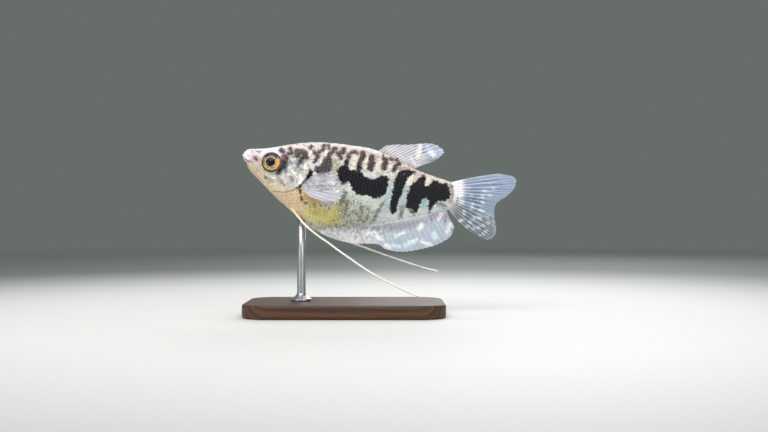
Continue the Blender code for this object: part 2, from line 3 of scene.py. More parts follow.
import bpy
import mathutils
import numpy as np
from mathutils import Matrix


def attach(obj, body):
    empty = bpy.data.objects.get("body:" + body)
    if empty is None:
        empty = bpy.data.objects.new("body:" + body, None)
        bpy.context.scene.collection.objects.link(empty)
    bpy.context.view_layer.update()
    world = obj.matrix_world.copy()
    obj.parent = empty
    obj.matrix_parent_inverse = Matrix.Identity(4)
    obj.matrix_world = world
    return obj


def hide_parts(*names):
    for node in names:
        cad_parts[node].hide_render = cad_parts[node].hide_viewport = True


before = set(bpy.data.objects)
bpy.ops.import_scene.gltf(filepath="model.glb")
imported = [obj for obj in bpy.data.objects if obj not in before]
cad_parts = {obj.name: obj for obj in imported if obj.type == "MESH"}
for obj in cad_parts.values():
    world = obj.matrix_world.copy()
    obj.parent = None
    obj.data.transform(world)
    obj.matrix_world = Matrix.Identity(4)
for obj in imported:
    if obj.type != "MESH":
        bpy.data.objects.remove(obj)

# The fish is worked out in millimetres in its own frame, the snout at the start of X, the tail
# behind it, Y across and Z up, level. It is turned nose up and set at its height when meshes are
# made. The first group of values repeats the part's source.
MM = 0.001
NOSE_UP_DEG = 11.3
SNOUT_TO_MIDDLE = 39.74
SNOUT_HEIGHT = 47.0
FLESH_LENGTH = 64.0

# Station, top, bottom, half width, level of the widest line, narrowing above it and below it.
FLESH_STATIONS = (
    (0.0, 0.2, -0.95, 0.60, -0.4, 1.0, 1.0),
    (0.3, 1.0, -1.4, 1.00, -0.5, 1.0, 1.0),
    (1.0, 1.7, -2.2, 1.40, -0.7, 1.0, 1.0),
    (2.1, 2.1, -3.75, 1.85, -1.0, 1.0, 1.05),
    (3.6, 2.4, -5.15, 2.35, -1.3, 0.95, 1.1),
    (5.8, 2.95, -6.6, 2.9, -1.6, 0.95, 1.15),
    (8.5, 3.85, -8.5, 3.35, -1.9, 0.95, 1.2),
    (12.2, 5.3, -11.0, 3.85, -2.3, 1.0, 1.2),
    (16.4, 6.7, -13.4, 4.4, -2.7, 1.0, 1.2),
    (20.0, 7.65, -15.4, 4.7, -3.0, 1.0, 1.2),
    (25.0, 8.35, -17.2, 4.8, -3.2, 1.05, 1.25),
    (30.5, 8.75, -16.1, 4.6, -2.8, 1.1, 1.4),
    (36.5, 8.95, -14.9, 4.1, -2.1, 1.15, 1.5),
    (41.5, 8.05, -13.5, 3.5, -1.4, 1.2, 1.55),
    (48.0, 6.1, -11.2, 2.7, -0.9, 1.2, 1.5),
    (53.2, 5.0, -8.7, 1.95, -0.5, 1.2, 1.4),
    (57.0, 4.45, -6.9, 1.4, -0.2, 1.15, 1.25),
    (61.0, 4.0, -4.6, 1.0, 0.0, 1.1, 1.1),
    (64.0, 3.85, -4.1, 0.8, 0.0, 1.1, 1.1),
)
# Middle X and Z, height, reach along and reach up of the cheek's two low swellings.
SWELLINGS = ((8.5, -0.7, 0.4, 3.7, 3.7), (15.2, -3.4, 0.3, 4.6, 5.2))
GILL_EDGE = (
    (16.4, 4.6), (17.6, 3.4), (19.0, 1.8), (19.9, -0.4), (20.1, -2.5), (19.4, -4.8),
    (17.6, -6.7), (15.8, -7.9), (13.6, -8.9), (10.6, -9.5), (8.6, -10.2),
)
GILL_FRONT = ((12.9, -8.3), (13.6, -6.4), (14.0, -4.2), (14.1, -1.6), (14.4, 0.8), (15.1, 2.5), (16.0, 3.5))
EYE_PLACE = (8.8, 3.42, -0.85)
EYE_FACES = (-0.18, 1.0, 0.14)
EYE_RADIUS = 2.88
EYE_BULGE = 0.8
EYE_DEPTH = 1.9
MOUTH_TIP = (-0.1, -0.78)
MOUTH_CORNER = (2.2, -1.9)
NOSTRILS = ((2.7, 1.05, 0.26), (5.0, 1.55, 0.3))
PECTORAL_SINK = 0.9
PECTORAL_FLARE = 4.4
# Fin keys: root X and Z, tip X and Z, and how far the rays bow.
DORSAL_KEYS = (
    (37.8, 7.9, 40.4, 10.6, 0.0), (39.4, 7.5, 43.3, 11.5, 0.1), (41.0, 7.1, 47.0, 12.2, 0.2),
    (42.5, 6.7, 51.0, 13.4, 0.3), (44.0, 6.2, 54.6, 13.8, 0.3), (45.3, 5.8, 57.5, 12.4, 0.3),
    (46.5, 5.4, 56.7, 10.6, 0.2), (47.6, 5.0, 54.6, 8.6, 0.1), (48.8, 4.7, 51.8, 7.0, 0.0),
)
ANAL_KEYS = (
    (24.4, -16.2, 27.0, -18.5, 0.0), (28.5, -15.7, 31.4, -19.3, 0.0), (33.0, -14.8, 36.8, -19.4, 0.0),
    (37.2, -13.9, 41.0, -18.6, 0.0), (40.0, -13.1, 44.0, -18.3, -0.1), (42.5, -12.4, 46.7, -19.3, -0.2),
    (46.5, -11.0, 51.4, -19.0, -0.3), (50.5, -9.3, 56.0, -17.4, -0.3), (54.5, -7.6, 60.4, -15.2, -0.3),
    (58.0, -5.8, 64.0, -12.1, -0.2), (60.2, -4.5, 64.7, -9.0, -0.1), (61.2, -4.0, 63.2, -7.4, 0.0),
)
CAUDAL_KEYS = (
    (60.9, 3.6, 74.5, 9.1, 0.35), (61.4, 3.0, 79.3, 8.9, 0.2), (62.0, 2.1, 80.0, 6.2, 0.0),
    (62.4, 1.1, 78.2, 3.1, 0.0), (62.6, 0.0, 75.7, 0.6, 0.0), (62.6, -1.0, 75.4, -2.2, 0.0),
    (62.5, -1.9, 76.3, -5.2, -0.1), (62.2, -2.7, 77.1, -8.2, -0.2), (61.9, -3.3, 75.2, -10.6, -0.4),
    (61.6, -3.8, 70.0, -9.5, -0.5),
)
PECTORAL_KEYS = (
    (19.4, -5.1, 22.4, -1.9, 0.2), (19.4, -5.5, 26.2, -0.5, 0.3), (19.4, -5.8, 29.2, -1.7, 0.3),
    (19.5, -6.1, 31.1, -3.9, 0.2), (19.6, -6.4, 31.4, -6.2, 0.0), (19.6, -6.7, 30.4, -7.9, -0.2),
    (19.7, -7.0, 27.0, -9.0, -0.3), (19.8, -7.3, 23.3, -8.8, -0.2),
)
NEAR_FEELER = (
    (16.6, 0.5, -12.2), (17.9, 1.8, -13.5), (21.7, 2.4, -16.6), (25.8, 2.6, -18.9), (29.5, 2.8, -20.5),
    (34.0, 3.2, -22.6), (43.6, 4.2, -26.6), (53.3, 5.4, -29.4), (59.0, 6.0, -30.5),
)
FAR_FEELER = (
    (16.6, 0.5, -12.2), (17.9, 1.8, -13.5), (21.7, 2.5, -16.2), (26.5, 2.8, -18.0), (31.0, 3.2, -18.9),
    (35.7, 3.7, -19.4), (47.0, 4.9, -21.1), (58.0, 6.2, -22.5), (63.0, 6.8, -22.7),
)
FEELER_RADIUS = 0.44
FEELER_TIP_RADIUS = 0.22
FEELER_ROOT_SWELL = 0.3
# The stand, in the world's own millimetres.
BASE_LENGTH = 58.0
BASE_DEPTH = 34.0
BASE_THICKNESS = 4.0
BASE_CENTRE_X = -10.0
BASE_CORNER = 8.0
BASE_EDGE = 0.8
ROD_RADIUS = 1.25
ROD_X = -22.8
ROD_FOOT_RADIUS = 3.0
ROD_FOOT_HEIGHT = 1.6
POST_GAP = 0.02
POST_SIDES = 96
BOARD_SIDES = 128

# How far the skin lies inside the solids, which leaves the scales their room.
SKIN_INSET = 0.14
SKIN_SIDES = 216
SKIN_END = 63.6
# Where each stretch of the skin starts and ends, and its count of sections.
SKIN_STRETCHES = ((0.0, 3.0, 51), (3.0, 15.0, 81), (15.0, 24.0, 41), (24.0, SKIN_END, 111))
DOME_ROWS = 14
TIP_BULGE = 0.12
# Middle, height and reach of the bells that make the lips, by the distance above the mouth line, and
# the rim of the eye's socket, by the distance outside the eye.
LIP_ROLLS = (
    (0.4, 0.22, 0.27), (-0.4, 0.2, 0.27), (0.0, -0.36, 0.12), (0.95, -0.07, 0.2), (-1.0, -0.06, 0.22),
)
SOCKET_ROLLS = ((0.2, 0.16, 0.26), (0.85, -0.07, 0.3))
SOCKET_DEPTH = 0.85
# Height, reach and stroke of the folds that bound the cheek, the jaw and the brow.
HEAD_FOLDS = (
    (-0.12, 0.28, (0.0, 13.6, 2.6, 13.2, -1.5, 12.3, -4.8, 10.2, -6.9, 7.6, -7.3)),
    (-0.1, 0.25, (0.0, 2.5, -2.1, 4.0, -3.3, 6.6, -5.6)),
    (0.08, 0.35, (0.0, 5.2, 1.5, 7.0, 2.7, 9.6, 2.9, 11.6, 1.9)),
)
FLAP_ROWS, FLAP_COLUMNS = 64, 40
FLAP_LIFT = 0.3
FLAP_ROOT_DEPTH = 0.34
EYE_ROWS, EYE_SIDES = 44, 72
EYE_INSET = 0.05
PUPIL_RISE = 0.09
# What is painted on the iris: how far it fades, and its stroke, measured from the eye's middle
# backwards and upwards.
IRIS_STROKES = {
    "orange": (0.9, (0.15, 2.0, 0.8, 2.15, -0.1, 1.8, -1.1)),
    "salmon": (0.7, (0.15, 1.5, 2.0, 2.2, 1.3)),
    "cream": (0.34, (0.02, -1.5, -1.5, -0.6, -2.1, 0.9, -2.05, 1.7, -1.7)),
    "shade": (0.7, (0.5, -1.4, 1.7, -0.4, 2.1, 0.8, 2.0)),
}
# The scales: where along the body they start and stop, their most columns and rows to each side of
# the widest line, their pitch along the body and round it, the points of each, the share of its
# length at which it is widest, and how far its rear edge rises.
SCALES_START, SCALES_STOP = 9.5, 62.0
SCALE_COLUMNS, SCALE_ROWS = 60, 24
SCALE_PITCH, ROW_PITCH = 1.12, 0.98
SCALE_LONG, SCALE_WIDE = 7, 6
SCALE_WIDEST, SCALE_RISE = 0.42, 0.17
BAKE_PATCH = 0.003
# Stations, angles and shares in the table of distances round the body.
GIRTH_GRID = (300, 241, 201)
# Where the pectoral fin leaves the flank.
PECTORAL_ROOT = (19.6, -6.2)
FEELER_RINGS, FEELER_SIDES = 170, 16
FEELER_INSET = 0.05
FLOOR_RINGS, FLOOR_SIDES, FLOOR_RADIUS = 39, 96, 0.9

# Where the photograph was taken from, worked out from the snout's and the frame's middle pixels.
FRAME_WIDTH = 768
FRAME_HEIGHT = 432
MM_PER_PIXEL = 0.2925
SNOUT_PIXEL = (243.5, 154.0)
LENS = 50.0
SENSOR = 36.0
BACKDROP = (0.135, 0.155, 0.145)
SKY, SKY_STRENGTH = (0.8, 0.83, 0.85), 0.36
# Name, place and width in metres, power and tint of the lights, and the place that they aim at.
LIGHTS = (
    ("key", (-0.16, -0.3, 0.42), 0.3, 1.82, (1.0, 0.99, 0.97)),
    ("fill", (0.26, -0.42, 0.2), 0.32, 0.82, (0.96, 0.985, 1.0)),
    ("top", (0.02, 0.06, 0.42), 0.28, 0.85, (1.0, 1.0, 1.0)),
    ("rear", (0.12, 0.42, 0.26), 0.3, 1.0, (1.0, 1.0, 1.0)),
    ("low", (-0.34, -0.3, 0.09), 0.15, 0.22, (1.0, 1.0, 1.0)),
)
LIGHTS_AIM = (0.0, 0.0, 0.035)

# Markings. Each stroke is a radius and then the points of the line that it is drawn along, X and Z in
# millimetres on the side of the fish; each patch is the points of an outline.
# How far the brown bars reach beyond their strokes.
BAR_SPREAD = 0.2
# The distance that stands for far from every mark.
FAR = 9.0
# Black patches of the pattern, and one of painted shadow in the gill slit behind the cover's edge.
BLACK_AND_SHADE_PATCHES = {
    "mid flank band": (
        28.2, -0.8, 28.3, 1.2, 29.2, 2.4, 30.6, 2.4, 31.6, 1.6, 32.5, 1.7, 33.6, 1.4, 35.4, 1.3,
        36.2, 0.4, 37.6, 0.0, 39.2, 0.3, 40.2, 1.5, 41.4, 1.9, 42.6, 1.6, 43.3, 0.8, 43.3, -3.2,
        42.5, -4.1, 40.8, -5.0, 39.5, -5.4, 38.0, -4.8, 36.5, -5.2, 34.5, -5.0, 33.1, -4.0, 32.4, -2.5,
        31.3, -2.4, 30.8, -3.2, 29.8, -3.2, 28.8, -2.2,
    ),
    "second bar": (
        45.9, 4.4, 47.3, 4.9, 50.4, 4.8, 50.1, 4.0, 48.6, 2.6, 48.1, 0.5, 47.8, -2.0, 47.3, -5.0,
        47.0, -8.0, 46.1, -9.1, 45.2, -7.5, 44.9, -5.0, 44.8, -2.0, 44.8, 1.0, 45.1, 3.0,
    ),
    "stalk patch": (
        52.3, 3.7, 51.4, 3.0, 50.9, 1.8, 49.7, 0.4, 49.2, -1.5, 49.3, -4.0, 49.7, -6.2, 50.5, -6.6,
        51.4, -6.3, 52.0, -7.4, 53.0, -6.7, 53.6, -4.6, 53.9, -2.8, 54.8, -2.1, 55.4, -2.6, 56.0, -3.6,
        56.8, -6.1, 57.4, -3.6, 58.2, -2.5, 60.2, -2.1, 61.4, -1.2, 61.9, 0.3, 61.0, 1.9, 60.3, 3.1,
        58.5, 3.0, 57.0, 3.5, 55.7, 3.3, 54.9, 1.4, 54.0, 1.3, 53.6, 3.6,
    ),
    # Painted shadow in the gill slit, behind the cover's edge.
    "gill wedge": (
        20.2, -0.6, 21.5, -1.0, 21.4, -2.3, 20.6, -3.2, 19.9, -4.3, 19.4, -4.5, 19.6, -3.0, 19.9, -1.8,
    ),
    "patch 3 spike": (
        55.6, -2.4, 57.7, -2.4, 57.3, -4.6, 56.9, -6.2, 56.0, -5.0,
    ),
}
SHOULDER = {
    "shoulder": (
        23.4, 3.7, 25.9, 3.9, 26.3, 2.4, 26.4, 0.6, 26.1, -0.6, 25.4, -0.9, 24.7, -2.1, 23.9, -1.2,
        22.6, -1.3, 21.5, -0.8, 21.7, 0.6, 22.9, 1.1, 23.3, 2.2,
    ),
}
# Black strokes of the pattern, and painted shade in the gill slit, the mouth line and the nostril pits.
BLACK_AND_SHADE_STROKES = (
    # The first two are painted shade in the gill slit along the cover's lower rear edge.
    (0.2, 19.3, -4.7, 18.4, -5.7), (0.38, 17.7, -6.75, 18.5, -6.1), (0.16, 12.2, 0.2, 12.5, -0.7),
    (0.14, 11.9, -2.4, 11.5, -3.2), (0.62, 30.2, 3.4, 30.0, 1.6), (0.5, 34.0, 2.6, 34.2, 1.2),
    # Painted shade: the mouth line and the two nostril pits.
    (-0.16, 0.9, -1.27, 2.3, -1.9), (-0.04, 2.7, 1.05, 2.75, 1.05), (-0.04, 5.0, 1.55, 5.05, 1.55),
    (0.16, 17.0, 1.9, 18.8, 2.3), (0.2, 17.2, 1.4, 17.1, 0.4),
)
BROWN_STROKES = (
    (0.45, 22.8, 6.9, 22.7, 5.4, 21.7, 4.6, 21.6, 3.2, 21.1, 1.7), (0.42, 20.4, 4.4, 21.4, 3.9),
    (0.55, 26.1, 6.6, 25.7, 5.7, 25.0, 4.9, 24.8, 3.4), (0.62, 28.5, 6.9, 28.5, 6.2, 27.6, 5.4),
    (0.4, 28.1, 4.9, 28.3, 4.2), (0.42, 32.3, 6.7, 31.2, 6.8, 30.5, 5.4, 30.2, 4.0, 30.1, 2.0),
    (0.58, 34.1, 7.1, 34.6, 5.9, 34.0, 4.4, 33.9, 3.0, 34.1, 1.6),
    (0.82, 37.1, 6.2, 37.3, 4.8, 37.2, 3.2), (0.3, 40.2, 7.5, 40.2, 7.2),
    (0.66, 41.0, 6.4, 41.3, 5.2, 41.1, 4.0), (0.35, 42.6, 6.9, 43.3, 6.8),
    (0.5, 45.4, 6.0, 44.4, 5.3, 43.9, 3.8), (0.5, 12.5, 1.7, 12.8, 1.2), (0.5, 10.8, 3.2, 11.6, 2.8),
    (0.45, 13.2, 4.1, 13.7, 3.6), (0.85, 15.6, 3.6, 16.0, 2.8), (0.75, 16.0, 3.6, 17.4, 3.9, 18.0, 3.4),
    (0.5, 18.6, 2.4, 17.4, 2.2, 17.2, 0.9), (0.4, 13.0, 2.6, 14.2, 3.0), (0.12, 18.6, -7.2, 19.0, -8.0),
    (0.14, 19.2, -8.8, 19.7, -9.7), (0.22, 20.7, -10.3, 20.8, -10.4), (0.0, 3.6, 1.5, 4.7, 1.4),
    (0.18, 3.8, -0.4, 4.5, -0.9), (0.0, 7.9, -5.3, 8.2, -5.7),
    (-0.2, 10.8, -8.9, 13.4, -8.8, 15.4, -8.1), (0.3, 19.2, 6.2, 18.8, 5.2),
    (0.4, 52.9, 3.8, 53.2, 3.4), (0.1, 61.0, 3.1, 61.8, 2.4), (0.35, 44.2, 7.0, 45.0, 6.4),
    (0.3, 24.0, 7.2, 24.3, 6.4),
)
# Pale flecks of the pattern, and a painted highlight on the front of the snout.
PALE_AND_HIGHLIGHT_STROKES = (
    (0.3, 15.4, -2.2, 16.2, -2.6), (0.2, 12.8, -4.5, 13.3, -4.7),
    (0.5, 17.8, -3.2, 18.5, -4.0, 18.1, -5.0), (0.3, 18.8, 0.5, 19.1, -0.6),
    # The second stroke here is a painted highlight on the front of the snout.
    (0.05, 47.2, 3.5, 47.3, 3.4), (0.42, 0.9, 0.4, 1.5, 0.7), (0.12, 14.5, 1.2, 15.0, 0.6),
    (0.15, 10.0, -5.0, 10.6, -5.2), (0.14, 15.4, -0.3, 15.9, -0.8), (0.25, 23.9, 5.2, 23.4, 4.4),
    (0.3, 31.9, -2.9, 32.6, -4.2), (0.28, 62.2, 3.5, 63.4, 3.2), (0.35, 22.3, -2.4, 23.6, -3.2),
    (0.3, 26.6, -1.6, 27.2, -2.6),
)
SMOKE_STROKES = (
    (0.6, 48.8, -6.4, 48.6, -9.0), (0.5, 43.0, -6.2, 41.8, -8.6, 41.2, -11.4),
    (0.6, 31.4, -5.4, 30.9, -8.0), (0.3, 28.6, -0.8, 28.4, -3.8), (0.6, 57.9, -3.1, 60.8, -3.4),
    (0.45, 60.6, -4.4, 62.4, -4.8), (0.2, 1.9, -1.75, 3.2, -1.8), (0.3, 51.0, -6.8, 52.6, -7.6),
    (0.25, 56.9, -6.2, 56.4, -7.4), (0.25, 32.6, -7.6, 32.4, -11.4), (0.3, 36.7, -7.4, 37.3, -12.0),
    (0.1, 34.7, -8.0, 34.9, -10.6), (0.1, 38.9, -8.6, 39.1, -11.8), (0.4, 10.9, -3.9, 11.5, -4.0),
    (0.45, 15.0, 2.2, 14.4, 1.0, 14.0, -0.4), (0.45, 16.4, 1.0, 16.8, -0.6),
    (0.4, 15.2, -3.9, 16.0, -4.6), (0.2, 12.8, -6.2, 13.9, -6.6),
)
FIN_WHITES = (
    (0.4, 60.2, -5.8, 59.6, -7.6), (0.45, 63.4, -8.4, 62.8, -10.8), (0.7, 55.2, -10.2, 54.7, -11.2),
    (0.4, 48.4, -14.8, 50.6, -13.2), (0.5, 56.3, -14.9, 58.8, -15.4), (0.45, 42.8, -16.0, 44.8, -16.6),
    (0.45, 46.0, -17.9, 47.2, -18.3), (0.65, 50.3, 12.5, 50.1, 9.2), (0.7, 53.6, 11.3, 54.5, 10.5),
    (0.12, 50.0, 6.4, 54.0, 8.2), (0.45, 65.9, -6.7, 66.6, -6.4), (0.2, 56.3, 12.3, 56.5, 12.0),
    (0.4, 40.4, -15.6, 42.4, -14.9), (0.2, 63.0, 2.6, 64.6, 1.6), (0.1, 64.2, 3.4, 66.6, 3.2),
    (0.2, 48.4, 8.6, 50.0, 6.6), (0.2, 51.9, 12.9, 52.5, 12.6), (0.3, 52.6, -15.6, 54.6, -14.6),
    (0.45, 22.0, -3.2, 23.4, -2.8), (0.35, 26.6, -3.2, 28.2, -3.6), (0.3, 28.6, -5.2, 29.6, -5.4),
)
FIN_CYANS = (
    (0.75, 59.2, -12.0, 59.8, -12.9), (0.55, 54.0, -15.4, 51.6, -16.9),
    (0.45, 48.0, -17.6, 50.2, -17.6), (0.4, 67.5, 1.3, 67.9, 1.3), (0.42, 70.7, 1.5, 71.2, 1.5),
    (0.42, 73.0, 2.3, 73.4, 2.3), (0.42, 71.1, 3.3, 71.5, 3.3), (0.35, 73.7, 4.4, 73.9, 4.4),
    (0.4, 71.4, -0.3, 71.7, -0.3), (0.38, 68.6, -1.0, 68.6, -2.6), (0.5, 71.3, -2.4, 72.2, -2.5),
    (0.75, 65.0, -1.3, 65.5, -1.3), (0.38, 66.5, -3.8, 66.6, -4.6), (0.42, 69.6, -5.1, 70.0, -5.1),
    (0.48, 71.0, -4.7, 71.6, -4.8), (0.38, 68.8, -6.4, 69.1, -6.4), (0.38, 68.2, -7.9, 68.5, -7.9),
    (0.38, 70.3, -8.2, 70.6, -8.2), (0.38, 71.6, -7.5, 71.9, -7.5), (0.38, 72.8, -6.7, 73.1, -6.7),
    (0.35, 74.2, -5.8, 74.5, -5.8), (0.35, 73.9, -8.3, 74.2, -8.3), (0.35, 73.1, -9.3, 73.4, -9.3),
    (0.3, 72.2, -10.0, 72.5, -10.0),
)
FIN_DARKS = (
    (0.18, 64.5, -9.6, 64.5, -10.6), (0.02, 63.8, -0.25, 70.5, -0.15),
)
FIN_SMOKES = (
    (0.1, 51.2, 11.7, 51.5, 10.9), (0.1, 23.4, -5.2, 26.6, -4.3), (0.1, 24.0, -6.2, 27.2, -5.6),
    (0.12, 64.6, -5.2, 68.4, -7.6), (0.12, 65.6, -3.0, 69.4, -3.6), (0.3, 74.4, -4.2, 75.6, -4.6),
    (0.05, 57.4, -7.6, 58.0, -9.4), (0.15, 61.5, -6.8, 61.7, -8.4),
)
# Ground tones: the first colour lies everywhere. Each of the others is a colour, how far it fades
# beyond its strokes, and its strokes.
GROUND_TONES = {
    "flank lilac": ((212, 210, 216),),
    "greenish flank": ((205, 216, 204), 4.0, (2.4, 33.0, -7.5, 40.0, -8.0, 49.0, -5.0, 56.0, -4.0)),
    "gap white": ((182, 193, 197), 1.0,
        (0.7, 44.2, 2.6, 43.9, -8.0), (0.6, 49.0, 2.8, 48.4, -4.0, 48.2, -8.5)),
    "upper beige": ((204, 186, 176), 2.4,
        (1.9, 15.5, 3.8, 22.0, 4.8, 32.0, 5.2, 42.0, 4.8, 50.0, 4.0, 58.0, 3.0)),
    "cream windows": ((230, 221, 208), 0.9,
        (0.45, 32.2, 5.8, 32.5, 2.6), (0.4, 39.2, 5.6, 39.3, 2.8), (0.3, 35.6, 5.8, 35.4, 3.2),
        (0.4, 42.4, 4.6, 42.7, 2.6), (0.4, 49.2, 3.6, 48.9, 1.2), (0.4, 54.2, 2.9, 54.3, 2.0),
        (0.3, 23.6, 3.4, 23.2, 2.2), (0.4, 29.2, 4.4, 29.0, 3.0), (0.3, 19.6, 3.6, 19.8, 1.6)),
    "pink nape": ((216, 196, 192), 1.6, (0.9, 13.0, 4.2, 20.0, 6.0)),
    "cyan notch": ((158, 190, 188), 0.7, (0.55, 54.6, -2.8, 54.9, -6.2)),
    "olive edge": ((166, 166, 142), 1.3, (0.8, 27.3, 2.6, 27.7, 0.4)),
    "notch white": ((212, 210, 208), 1.0, (0.8, 36.6, 1.4, 38.8, 1.3), (0.5, 42.4, 2.9, 43.3, 2.2)),
    "breast": ((222, 192, 148), 2.6,
        (3.0, 13.0, -9.5, 18.0, -10.5, 21.0, -11.0), (1.4, 10.0, -8.6, 14.0, -11.0)),
    "belly orange": ((214, 176, 122), 1.8, (1.0, 20.0, -7.8, 23.4, -9.6)),
    "belly yellow": ((214, 201, 110), 4.2, (0.9, 24.6, -13.0, 27.4, -13.4, 30.2, -12.4)),
    "belly olive": ((180, 178, 122), 1.6, (0.7, 31.8, -8.6, 32.6, -11.6)),
    "belly hatch": ((190, 193, 176), 3.4, (1.2, 34.5, -12.4, 38.0, -11.4)),
    "lower flank cream": ((213, 215, 213), 2.0, (1.1, 43.0, -12.0, 46.5, -10.4, 52.5, -8.4, 57.5, -6.6)),
    "breast rim": ((218, 196, 158), 0.8, (0.5, 8.5, -8.4, 12.2, -10.9, 16.4, -13.3, 20.0, -15.2)),
    "cheek": ((203, 197, 187), 2.4, (3.2, 9.0, -3.8, 13.5, -4.0, 16.0, -2.5)),
    "gill grey": ((164, 163, 163), 1.6, (1.0, 15.2, 1.6, 16.8, 0.4, 17.2, -1.0)),
    "blue cheek": ((128, 134, 156), 0.9, (0.25, 12.8, -1.7, 13.4, -2.4)),
    "behind eye": ((30, 33, 31), 1.1, (0.66, 12.4, 0.9, 12.6, -1.0), (0.28, 12.0, -2.0, 11.5, -3.3)),
    "red behind eye": ((132, 92, 96), 0.6, (0.25, 11.8, 1.5, 12.0, 0.8)),
    "lower cheek": ((222, 205, 172), 1.8, (0.9, 6.2, -4.8, 9.5, -7.4, 13.0, -8.0)),
    "jaw": ((203, 185, 158), 1.6, (1.3, 2.4, -3.0, 4.6, -4.2)),
    "chin orange": ((216, 178, 146), 1.0, (0.1, 4.5, -4.7, 5.6, -5.4)),
    "snout": ((224, 211, 214), 1.5, (1.4, 2.0, 0.6, 5.0, 1.0)),
    "snout russet": ((198, 168, 163), 1.2, (0.5, 3.8, -0.4, 4.8, -0.9)),
    "snout lilac": ((210, 198, 214), 0.9, (0.3, 1.6, 1.3, 2.2, 1.2), (0.2, 1.2, 0.2, 1.5, 0.0)),
    "upper lip": ((234, 220, 220), 0.4, (0.25, -0.1, -0.2, 0.9, -0.7, 1.8, -1.2)),
    # Greyer lower lip, partly a painted shadow of the mouth's edge above it.
    "lower lip": ((186, 170, 164), 0.5, (0.16, -0.1, -1.2, 0.9, -1.7, 1.8, -2.2)),
    "stalk": ((158, 148, 136), 1.0, (0.5, 61.8, 2.6, 62.6, 0.6, 62.4, -1.6)),
    "tail root": ((236, 238, 241), 0.9, (0.4, 62.8, 3.4, 63.8, 0.5, 63.4, -2.4)),
}
FIN_TONES = {
    "fin blue": ((184, 195, 207),),
    "anal front": ((216, 214, 218), 4.0, (2.4, 25.0, -18.0, 33.0, -17.6, 38.0, -17.0)),
    "anal root": ((198, 203, 205), 1.5,
        (1.0, 24.0, -16.2, 33.0, -14.8, 40.0, -13.2, 50.0, -9.9, 60.0, -5.0)),
    "anal base": ((164, 168, 178), 1.7, (0.16, 41.5, -14.1, 45.6, -12.9, 50.0, -11.5, 55.6, -9.4)),
    "anal plum": ((168, 164, 184), 2.0, (0.4, 57.6, -6.9, 61.6, -6.2)),
    "caudal root": ((252, 252, 252), 2.6, (2.1, 62.8, 2.6, 66.0, 1.2)),
    "caudal low root": ((196, 187, 176), 1.8, (0.8, 63.2, -2.4, 65.4, -3.8)),
    "caudal upper": ((166, 182, 210), 3.0, (3.0, 69.5, 4.6, 76.0, 5.8)),
    "caudal middle": ((154, 171, 194), 1.8, (1.2, 67.5, -0.6, 75.0, -1.4)),
    "caudal lower": ((134, 141, 152), 2.2, (2.2, 66.8, -5.2, 73.6, -8.0)),
    "dorsal": ((226, 223, 228), 3.0, (3.2, 41.0, 8.8, 48.0, 9.6)),
    "dorsal root": ((222, 206, 194), 1.1, (0.4, 39.0, 8.4, 44.0, 7.0, 48.6, 5.6)),
    "dorsal lilac": ((215, 220, 246), 1.6, (1.6, 53.0, 12.6, 56.0, 12.0)),
    "pectoral": ((212, 210, 221), 3.0, (5.0, 23.0, -5.2, 28.0, -4.6)),
}
# Where dots hatch the belly, where clouds lie on cheek and belly, and the flecked upper flank.
HATCHED = ((1.0, 34.0, -13.4, 38.0, -13.0), (0.3, 31.6, -12.6, 30.4, -15.0))
HATCHED_FLANK = (
    (2.2, 33.0, -9.6, 38.0, -11.0), (0.7, 24.0, -11.0, 30.0, -9.0), (0.9, 31.0, -6.4, 31.5, -8.5),
)
CLOUDED = (
    (3.2, 9.5, -3.6, 16.5, -2.0), (1.6, 13.0, 2.0, 18.0, 3.0), (1.5, 22.0, -3.0, 30.0, -3.4),
    (1.4, 25.0, -17.2, 33.0, -17.0, 39.0, -16.4, 45.0, -13.4),
)
FLECKED = ((2.0, 13.0, 3.4, 22.0, 4.4, 32.0, 4.8, 43.0, 4.4), (0.8, 43.0, 5.0, 47.0, 5.6))
# Colour and strength of the painted highlight along the rim of the back, and of the blotches along its ridge.
RIM_HIGHLIGHT_TONE, RIM_HIGHLIGHT_STRENGTH = (230, 223, 222), 0.85
RIDGE_TONE, RIDGE_STRENGTH = (112, 88, 76), 0.9
# What each kind of surface wears.
ON_FLESH = {
    "tones": GROUND_TONES, "patches": BLACK_AND_SHADE_PATCHES, "dusk": SHOULDER, "black": BLACK_AND_SHADE_STROKES,
    "pale": PALE_AND_HIGHLIGHT_STROKES, "cyan": (), "smoke": SMOKE_STROKES, "hatch": HATCHED + HATCHED_FLANK,
}
ON_FINS = {
    "tones": FIN_TONES, "patches": {}, "dusk": {}, "black": FIN_DARKS,
    "pale": FIN_WHITES, "cyan": FIN_CYANS, "smoke": FIN_SMOKES, "hatch": HATCHED,
}


def to_model(points):
    """Fish millimetres to model metres: the body turned nose up about Y, then moved to its place."""
    turn = math.radians(NOSE_UP_DEG)
    x, y, z = np.moveaxis(points, -1, 0)
    ahead = x * math.cos(turn) + z * math.sin(turn) - SNOUT_TO_MIDDLE
    height = z * math.cos(turn) - x * math.sin(turn) + SNOUT_HEIGHT
    return np.stack([ahead, y, height], axis=-1) * MM


def smooth(value, low, high):
    """0 below low, 1 above high, and 3p^2 - 2p^3 of the share p between them."""
    share = np.clip((value - low) / (high - low), 0.0, 1.0)
    return share * share * (3 - 2 * share)


def bell(distance, reach):
    """exp(-(distance / reach)^2)."""
    return np.exp(-((distance / reach) ** 2))


def cubic(rows, slopes, first, part, width=1.0):
    """The cubic from each first row to the next at a part of the way, by the slopes at both ends."""
    rise = rows[first] * (2 * part**3 - 3 * part**2 + 1) + rows[first + 1] * (3 * part**2 - 2 * part**3)
    lean = slopes[first] * (part**3 - 2 * part**2 + part) + slopes[first + 1] * (part**3 - part**2)
    return rise + lean * width


def through(keys, where):
    """A smooth curve through key rows: its slope at each is half the step between its neighbours."""
    rows = np.asarray(keys, float)
    place = np.clip(where, 0.0, 1.0) * (len(rows) - 1)
    first = np.minimum(place.astype(int), len(rows) - 2)
    return cubic(rows, np.gradient(rows, axis=0), first, (place - first)[..., None])


